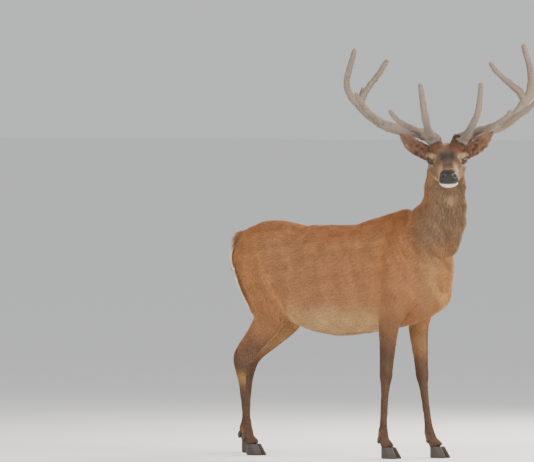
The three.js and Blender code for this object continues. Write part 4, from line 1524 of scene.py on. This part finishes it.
LEFT_ANTLER = {
    "beam": (
        (46, 58, 1516, 32), (41, 66, 1536, 34), (27, 98, 1555, 27), (-12, 150, 1572, 26),
        (-48, 205, 1585, 26), (-72, 256, 1601, 25), (-104, 302, 1630, 24), (-132, 338, 1668, 23),
        (-150, 366, 1706, 24), (-156, 380, 1734, 22)),
    "brow": (
        (44, 72, 1545, 22), (92, 92, 1566, 20), (142, 114, 1608, 18), (174, 136, 1660, 16),
        (188, 148, 1730, 14), (190, 150, 1795, 12)),
    "bez": (
        (18, 112, 1562, 18), (48, 146, 1578, 16), (84, 186, 1590, 15), (114, 232, 1614, 13),
        (128, 272, 1642, 12), (132, 291, 1670, 10)),
    "trez": (
        (-64, 244, 1598, 19), (-34, 290, 1620, 17), (-4, 342, 1654, 16), (22, 392, 1690, 13),
        (38, 424, 1724, 11), (42, 433, 1744, 9)),
    "outer": (
        (-152, 372, 1720, 21), (-152, 386, 1746, 18), (-144, 397, 1790, 17), (-130, 398, 1836, 16),
        (-112, 390, 1890, 15), (-96, 374, 1941, 14), (-89, 364, 1981, 12)),
    "inner": (
        (-152, 372, 1716, 20), (-158, 346, 1762, 19), (-152, 312, 1792, 17), (-140, 270, 1826, 14),
        (-130, 234, 1860, 13), (-124, 208, 1895, 11)),
    "back": (
        (-156, 376, 1718, 18), (-180, 404, 1752, 16), (-196, 430, 1800, 14), (-200, 436, 1842, 12),
        (-200, 434, 1862, 10)),
}
ANTLERS = {"right": RIGHT_ANTLER, "left": LEFT_ANTLER}
FUZZ = 1.0                                        # depth of the velvet's hair


def tine_shell(rows: Rows, inset: float) -> Shell:
    """One beam or tine with a blunt end, in the trunk's frame.

    Args:
        rows: x, y, z and radius at each station.
        inset: depth below the solid.

    Returns:
        The closed tine.
    """
    tip, before = np.array(rows[-1], float), np.array(rows[-2], float)
    ways = unit(tip[:3] - before[:3])
    caps = [(*(tip[:3] + ways * tip[3] * k), tip[3] * r) for k, r in ((0.55, 0.80), (0.9, 0.36))]
    full = [(x, y, z, r, r, r) for x, y, z, r in (*rows, *caps)]
    made = loft(full, (1, 0, 0.2), inset, 28, 8)
    return made.moved(lambda p: p @ ANTLER_PLACE.turn().T + np.array(ANTLER_PLACE.at))


def build_antler(stag: Stag, side: str) -> Tufts:
    """One antler in velvet.

    Args:
        stag: where the piece goes.
        side: right or left.

    Returns:
        The short hair of its velvet.
    """
    shells = [tine_shell(rows, FUZZ) for rows in ANTLERS[side].values()]
    mesh = remeshed(f"antler_{side}", shells, 3.4)
    relax(mesh, np.ones(len(mesh.vertices)), 5)
    points, n = coordinates(mesh), normals(mesh)
    knots = 1.3 * wave(points, 46, 31) + 0.8 * wave(points, 19, 32)
    burr = bump(points[:, 2] - (1530 + 0.10 * np.abs(points[:, 1] + 80)), 0, 9)
    burr *= np.linalg.norm(points - HEAD.out(np.array([[50.0, SIDES[side] * 65, 112]])), axis=1) < 62
    set_coordinates(mesh, points + n * (knots + 4.0 * burr)[:, None])
    for polygon in mesh.polygons:
        polygon.use_smooth = True
    paint(mesh, velvet_colours(coordinates(mesh)))
    material = bpy.data.materials.get("velvet") or velvet_material()
    stag.add(mesh, f"velvet_{side}", material, "velvet", stag.named(f"antler_{side}"))
    rng = np.random.default_rng(SEED + SIDES[side])
    spacing = 4.1
    root, normal = sample(mesh, np.full(len(mesh.vertices), 1 / spacing ** 2), rng)
    lines = [spline(rows, 20)[:, :3] for rows in ANTLERS[side].values()]
    path = np.vstack(lines) @ ANTLER_PLACE.turn().T + np.array(ANTLER_PLACE.at)
    way = np.vstack([unit(np.gradient(line, axis=0)) for line in lines]) @ ANTLER_PLACE.turn().T
    near = np.concatenate([np.linalg.norm(root[k:k + 4000, None] - path[None], axis=2).argmin(1)
                           for k in range(0, len(root), 4000)])
    lie = way[near] + rng.normal(0, 0.22, root.shape)
    lie = unit(lie - normal * (lie * normal).sum(1)[:, None])
    count = len(root)
    off = root - path[near]
    turn = np.arctan2((off * np.cross(way[near], [0.3, 0.2, 0.9])).sum(1), off[:, 2]) / (2 * np.pi) + 0.5
    uv = np.stack([0.02 + 0.9 * near / len(path), 0.02 + 0.9 * turn], 1)
    colour = velvet_colours(root) * 1.15 * np.exp(rng.normal(0, 0.07, count))[:, None]
    return Tufts(root, normal, lie, rng.uniform(4.5, 7.5, count), rng.uniform(0.9, 1.4, count),
                 rng.uniform(0.03, 0.18, count), colour, uv)


def velvet_colours(points: Array) -> Array:
    """Colours of the velvet: greyish brown, paler at the tips and dark in patches.

    Args:
        points: in the trunk's frame.

    Returns:
        Linear colours, one row each.
    """
    colour = np.tile(Tone.VELVET.linear, (len(points), 1))
    colour = tinted(colour, Tone.VELVET_PALE, 0.35 + 0.35 * wave(points, 120, 41))
    colour = tinted(colour, Tone.VELVET_DARK, step(0.35, 0.9, wave(points, 70, 42)) * 0.7)
    foot = np.linalg.norm(points - HEAD.out(np.array([[50.0, 0, 112]])), axis=1)
    colour = tinted(colour, Tone.VELVET_DARK, step(260, 90, foot + 24 * wave(points, 40, 43)) * 0.8)
    return colour


def claw_shell(inner: int) -> Shell:
    """One claw, in the foot's frame: flat sole, sloping wall, rounded toe.

    Args:
        inner: 1 or -1, the side that the other claw is on.

    Returns:
        The closed claw.
    """
    length, width, lean = 92.0, 31.0, 0.30
    rings = []
    table = ((0, 5, 2.0), (1.6, 2.6, 0.8), (5, 0, 0), (26, 6, 0.2), (CORONET - 8, 13, 1),
             (CORONET - 2, 15, 1.8),
             (CORONET - 0.3, 17, 3.5))
    angle = 2 * np.pi * np.arange(40) / 40
    for height, short, slim in table:
        reach, half = length / 2 - short, width / 2 - slim
        x = np.cos(angle) * reach + np.where(np.cos(angle) > 0, 0, 2)
        flat = np.where(np.sign(np.sin(angle)) == inner, 0.72, 1)
        toe = 1 - 0.35 * np.maximum(0, np.cos(angle)) ** 2
        y = np.sign(np.sin(angle)) * np.abs(np.sin(angle)) ** 0.8 * half * flat * toe
        rings.append(np.stack([x + (CORONET - height) * lean, y, np.full(40, float(height))], 1))
    return skin_rings(np.array(rings))


def build_hooves(stag: Stag) -> None:
    """Eight claws and eight dewclaws as one piece for each foot.

    Args:
        stag: where the pieces go.
    """
    material = hoof_material()
    ends = {"fore": (337, 98), "hind": (-421, 112)}
    for pair, (end, out) in ends.items():
        for side, s in SIDES.items():
            top = np.array(CORONET)
            if pair == "fore":
                x = end + STRIDE["fore"][side] * below(800, 0, top)
            else:
                x = end + STRIDE["hind"][side] + SHANK[side] * below(470, 0, top)
            shells = []
            for inner in SIDES.values():
                turn = math.radians(-3 * inner)
                c, d = math.cos(turn), math.sin(turn)
                spin = np.array([[c, -d, 0], [d, c, 0], [0, 0, 1]])
                at = np.array([x + 6, s * out - inner * 17, 0])
                shells.append(claw_shell(inner).moved(lambda p, m=spin, o=at: p @ m.T + o))
                rows = ((0, 0, 17, 6.5, 7.6, 7.6), (-3, 0, 6.8, 10.5, 9.5, 9.5), (-6, 0, -8.5, 8.8, 8, 8),
                        (-7, 0, -17, 3.4, 3, 3))
                spot = np.array([x - 30, s * out - inner * 19, 88])
                shells.append(loft(rows, (1, 0, 0), 0.0, 20, 5).moved(lambda p, o=spot: p + o))
            mesh = to_mesh(f"hoof_{pair}_{side}", merged(f"hoof_{pair}_{side}", shells))
            outward(mesh)
            for polygon in mesh.polygons:
                polygon.use_smooth = abs(polygon.normal.z) < 0.9
            stag.add(mesh, f"hoof_{pair}_{side}", material, "hoof",
                     stag.named(f"claw_{pair}_{side}", f"dewclaw_{pair}_{side}"))


def build_eyes(stag: Stag) -> None:
    """Eyeballs with a bulged cornea, brown iris and long level pupil, and the dark rims of the lids.

    Args:
        stag: where the pieces go.
    """
    gloss, rim = eye_material(), lid_material()
    for side, s in SIDES.items():
        centre, look, long, upright = eye_frame(s)
        lat = np.linspace(0, np.pi, 49)[1:-1]
        lon = 2 * np.pi * np.arange(72) / 72
        rings = []
        for t in lat:
            bulge = 1 + 0.07 * float(step(0.62, 0.0, np.array(t)))
            outward_way = long * np.cos(lon)[:, None] + upright * np.sin(lon)[:, None]
            ring = look * math.cos(t) + outward_way * math.sin(t)
            rings.append(centre + ring * (EYE_RADIUS - 0.6) * bulge)
        shell = skin_rings(np.array(rings))
        off = (shell.points - centre) / EYE_RADIUS
        a, b, front = off @ long, off @ upright, off @ look
        iris = step(0.80, 0.70, np.hypot(a, b)) * (front > 0)
        pupil = step(1.08, 0.88, np.hypot(a / 0.46, b / 0.24)) * (front > 0)
        colour = np.tile(srgb(22, 15, 12), (len(off), 1))
        colour += (srgb(64, 36, 20) - colour) * iris[:, None]
        colour += (srgb(6, 5, 6) - colour) * pupil[:, None]
        mesh = to_mesh(f"eyeball_{side}", shell.moved(HEAD.out))
        outward(mesh)
        for polygon in mesh.polygons:
            polygon.use_smooth = True
        paint(mesh, colour)
        stag.add(mesh, f"eyeball_{side}", gloss, "eye", [f"eye_{side}"])
        rings = []
        for t in 2 * np.pi * np.arange(64) / 64:
            a, b = 1.0 * math.cos(t), 1.0 * math.sin(t)
            spot = long * (a * EYE_LONG) + upright * (b * EYE_TALL)
            spot = spot + look * math.sqrt(EYE_RADIUS ** 2 - float(spot @ spot))
            outwards = unit(spot)
            away = unit(long * a * EYE_TALL + upright * b * EYE_LONG)
            k = 2 * np.pi * np.arange(10) / 10
            section = outwards * np.cos(k)[:, None] * 1.5 + away * np.sin(k)[:, None] * 1.3
            rings.append(centre + outwards * 1.5 + spot + section)
        ring = np.array(rings)
        n, m, _ = ring.shape
        index = np.arange(n * m).reshape(n, m)
        nxt = np.roll(index, -1, 0)
        faces = np.stack([index, np.roll(index, -1, 1), np.roll(nxt, -1, 1), nxt], -1).reshape(-1, 4).tolist()
        mesh = to_mesh(f"lids_{side}", Shell(ring.reshape(-1, 3), faces).moved(HEAD.out))
        outward(mesh)
        for polygon in mesh.polygons:
            polygon.use_smooth = True
        stag.add(mesh, f"lids_{side}", rim, "nose")


def build_lashes() -> Tufts:
    """Dark lashes along the upper lids.

    Returns:
        The lashes.
    """
    rng = np.random.default_rng(SEED + 5)
    roots, outs, ways = [], [], []
    for s in SIDES.values():
        centre, look, long, upright = eye_frame(s)
        for t in np.linspace(0.12, 0.92, 34) * np.pi:
            spot = long * (math.cos(t) * EYE_LONG) + upright * (math.sin(t) * EYE_TALL)
            spot = spot + look * math.sqrt(EYE_RADIUS ** 2 - float(spot @ spot))
            roots.append(centre + spot * 1.10)
            outs.append(unit(spot))
            ways.append(unit(spot * 0.035 + upright * 0.45 + long * math.cos(t) * 0.4 + look * 0.5))
    root, out, way = (np.array(v) for v in (roots, outs, ways))
    out, way = out @ HEAD.turn().T, way @ HEAD.turn().T
    root = HEAD.out(root)
    lie = unit(way - out * (way * out).sum(1)[:, None] * 0.3)
    count = len(root)
    return Tufts(root, out, lie, rng.uniform(8, 12, count), rng.uniform(0.7, 0.9, count),
                 rng.uniform(0.1, 0.25, count), np.tile(Tone.RIM.linear, (count, 1)),
                 Place.of(root, out).unwrapped())


def build_nose(stag: Stag, skin: bpy.types.Object) -> None:
    """The bare nose pad, cut from the finished skin and stood just over it.

    Args:
        stag: where the piece goes.
        skin: the finished skin.
    """
    bm = bmesh.new()
    bm.from_mesh(skin.data)
    tip = Vector((HEAD.out(np.array([[385.0, 0, -10]]))[0] + ORIGIN) * MM)
    far = [v for v in bm.verts if (v.co - tip).length > 0.09]
    bmesh.ops.delete(bm, geom=far, context="VERTS")
    turn = HEAD.turn()
    lean = unit(np.array([1.0, 0, -0.35]))
    for at, way in (((358.5, 0, 0), lean), ((0, 0, -33), np.array([0, 0, 1.0])),
                    ((372, 38, 0), unit(np.array([0.35, -1.0, 0]))),
                    ((372, -38, 0), unit(np.array([0.35, 1.0, 0])))):
        geom = bm.verts[:] + bm.edges[:] + bm.faces[:]
        spot = (HEAD.out(np.array([at], float))[0] + ORIGIN) * MM
        bmesh.ops.bisect_plane(bm, geom=geom, plane_co=Vector(spot), plane_no=Vector(turn @ way),
                               clear_inner=True)
    bm.normal_update()
    for v in bm.verts:
        v.co += v.normal * 0.0014
    bmesh.ops.holes_fill(bm, edges=[e for e in bm.edges if e.is_boundary])
    bmesh.ops.triangulate(bm, faces=[f for f in bm.faces if len(f.verts) > 4])
    bmesh.ops.recalc_face_normals(bm, faces=bm.faces)
    mesh = bpy.data.meshes.new("nose_pad")
    bm.to_mesh(mesh)
    bm.free()
    while mesh.color_attributes:
        mesh.color_attributes.remove(mesh.color_attributes[0])
    for polygon in mesh.polygons:
        polygon.use_smooth = len(polygon.vertices) < 5
    stag.add(mesh, "nose_pad", nose_material(), "nose", ["nose"])


COAT_PIECE = 18500                                # tufts in one piece of coat


def build_coat(stag: Stag, tufts: Tufts, label: str, material: bpy.types.Material, slot: str) -> None:
    """Sorts tufts from rear to front and joins them in pieces."""
    order = np.argsort(tufts.root[:, 0] + 0.6 * tufts.root[:, 2])
    parts = math.ceil(len(order) / COAT_PIECE)
    for k, chosen in enumerate(np.array_split(order, parts)):
        name = f"{label}_{k + 1:02d}"
        stag.add(tufts.take(chosen).build(name), name, material, slot)


def build_stage() -> None:
    """Pale floor, soft light and the camera."""
    bpy.ops.mesh.primitive_plane_add(size=400)
    floor = bpy.context.object
    floor.name = "floor"
    floor.data.materials.append(plain_material("floor_paint", (0.90, 0.90, 0.89), 0.9))
    world = bpy.data.worlds.new("studio")
    bpy.context.scene.world = world
    world.use_nodes = True
    world.node_tree.nodes["Background"].inputs[0].default_value = (0.86, 0.87, 0.88, 1)
    world.node_tree.nodes["Background"].inputs[1].default_value = 0.75
    lamps = (
        ("key", 60, 32, 5.0, 3.4, 330, (1.0, 0.93, 0.84)), ("rim", 140, 30, 4.6, 2.4, 380, (1.0, 0.90, 0.78)),
        ("fill", -42, 26, 6.0, 5.0, 300, (1.0, 0.98, 0.95)),
    )
    middle = Vector((0, 0, 1.0))
    for name, azimuth, height, far, size, power, colour in lamps:
        lamp = bpy.data.lights.new(name, "AREA")
        lamp.energy = power
        lamp.size = size
        lamp.color = colour
        obj = bpy.data.objects.new(name, lamp)
        a, e = math.radians(azimuth + AZIMUTH), math.radians(height)
        way = Vector((math.sin(a) * math.cos(e), -math.cos(a) * math.cos(e), math.sin(e)))
        obj.location = middle + far * way
        obj.rotation_euler = (middle - obj.location).to_track_quat("-Z", "Y").to_euler()
        bpy.context.scene.collection.objects.link(obj)
    camera = bpy.data.cameras.new("camera")
    camera.sensor_width = 36
    camera.lens = 36 * CAMERA_FAR / FRAME_WIDE
    camera.clip_end = 500
    obj = bpy.data.objects.new("camera", camera)
    a, e = math.radians(AZIMUTH), math.radians(ELEVATION)
    back = Vector((math.sin(a) * math.cos(e), -math.cos(a) * math.cos(e), math.sin(e)))
    right = Vector((math.cos(a), math.sin(a), 0))
    obj.location = right * CENTRE_ACROSS + Vector((0, 0, CENTRE_HIGH)) + back * CAMERA_FAR
    obj.rotation_euler = back.to_track_quat("Z", "Y").to_euler()
    bpy.context.scene.collection.objects.link(obj)
    bpy.context.scene.camera = obj


AZIMUTH, ELEVATION = 32.0, 1.0
CAMERA_FAR, FRAME_WIDE = 40.0, 2.563
CENTRE_ACROSS, CENTRE_HIGH = -0.514, 1.087


def main() -> None:
    """Builds the whole scene."""
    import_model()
    stag = Stag([o.name for o in bpy.data.objects if o.type == "MESH"])
    skin = build_skin()
    build_nose(stag, skin)
    place = Place.of(coordinates(skin.data), normals(skin.data))
    paint(skin.data, markings(place))
    set_uv(skin.data, "Lie", place.unwrapped())
    flesh = stag.named("trunk", "tail", "neck", "forearm", "front_cannon", "thigh", "hind_cannon", "head",
                       "ear")
    mesh = skin.data
    tufts = grow_coat(skin)
    bpy.data.objects.remove(skin)
    stag.add(mesh, "skin", skin_material(), "coat", flesh)
    build_coat(stag, tufts, "coat", tuft_material("hair", 0.10), "coat")
    fuzz = tuft_material("velvet_hair", 0.5)
    for side in SIDES:
        build_coat(stag, build_antler(stag, side), f"velvet_hair_{side}", fuzz, "velvet")
    build_coat(stag, build_lashes(), "lashes", tuft_material("lash_hair", 0.0), "coat")
    build_hooves(stag)
    build_eyes(stag)
    build_stage()


if __name__ == "__main__":
    main()
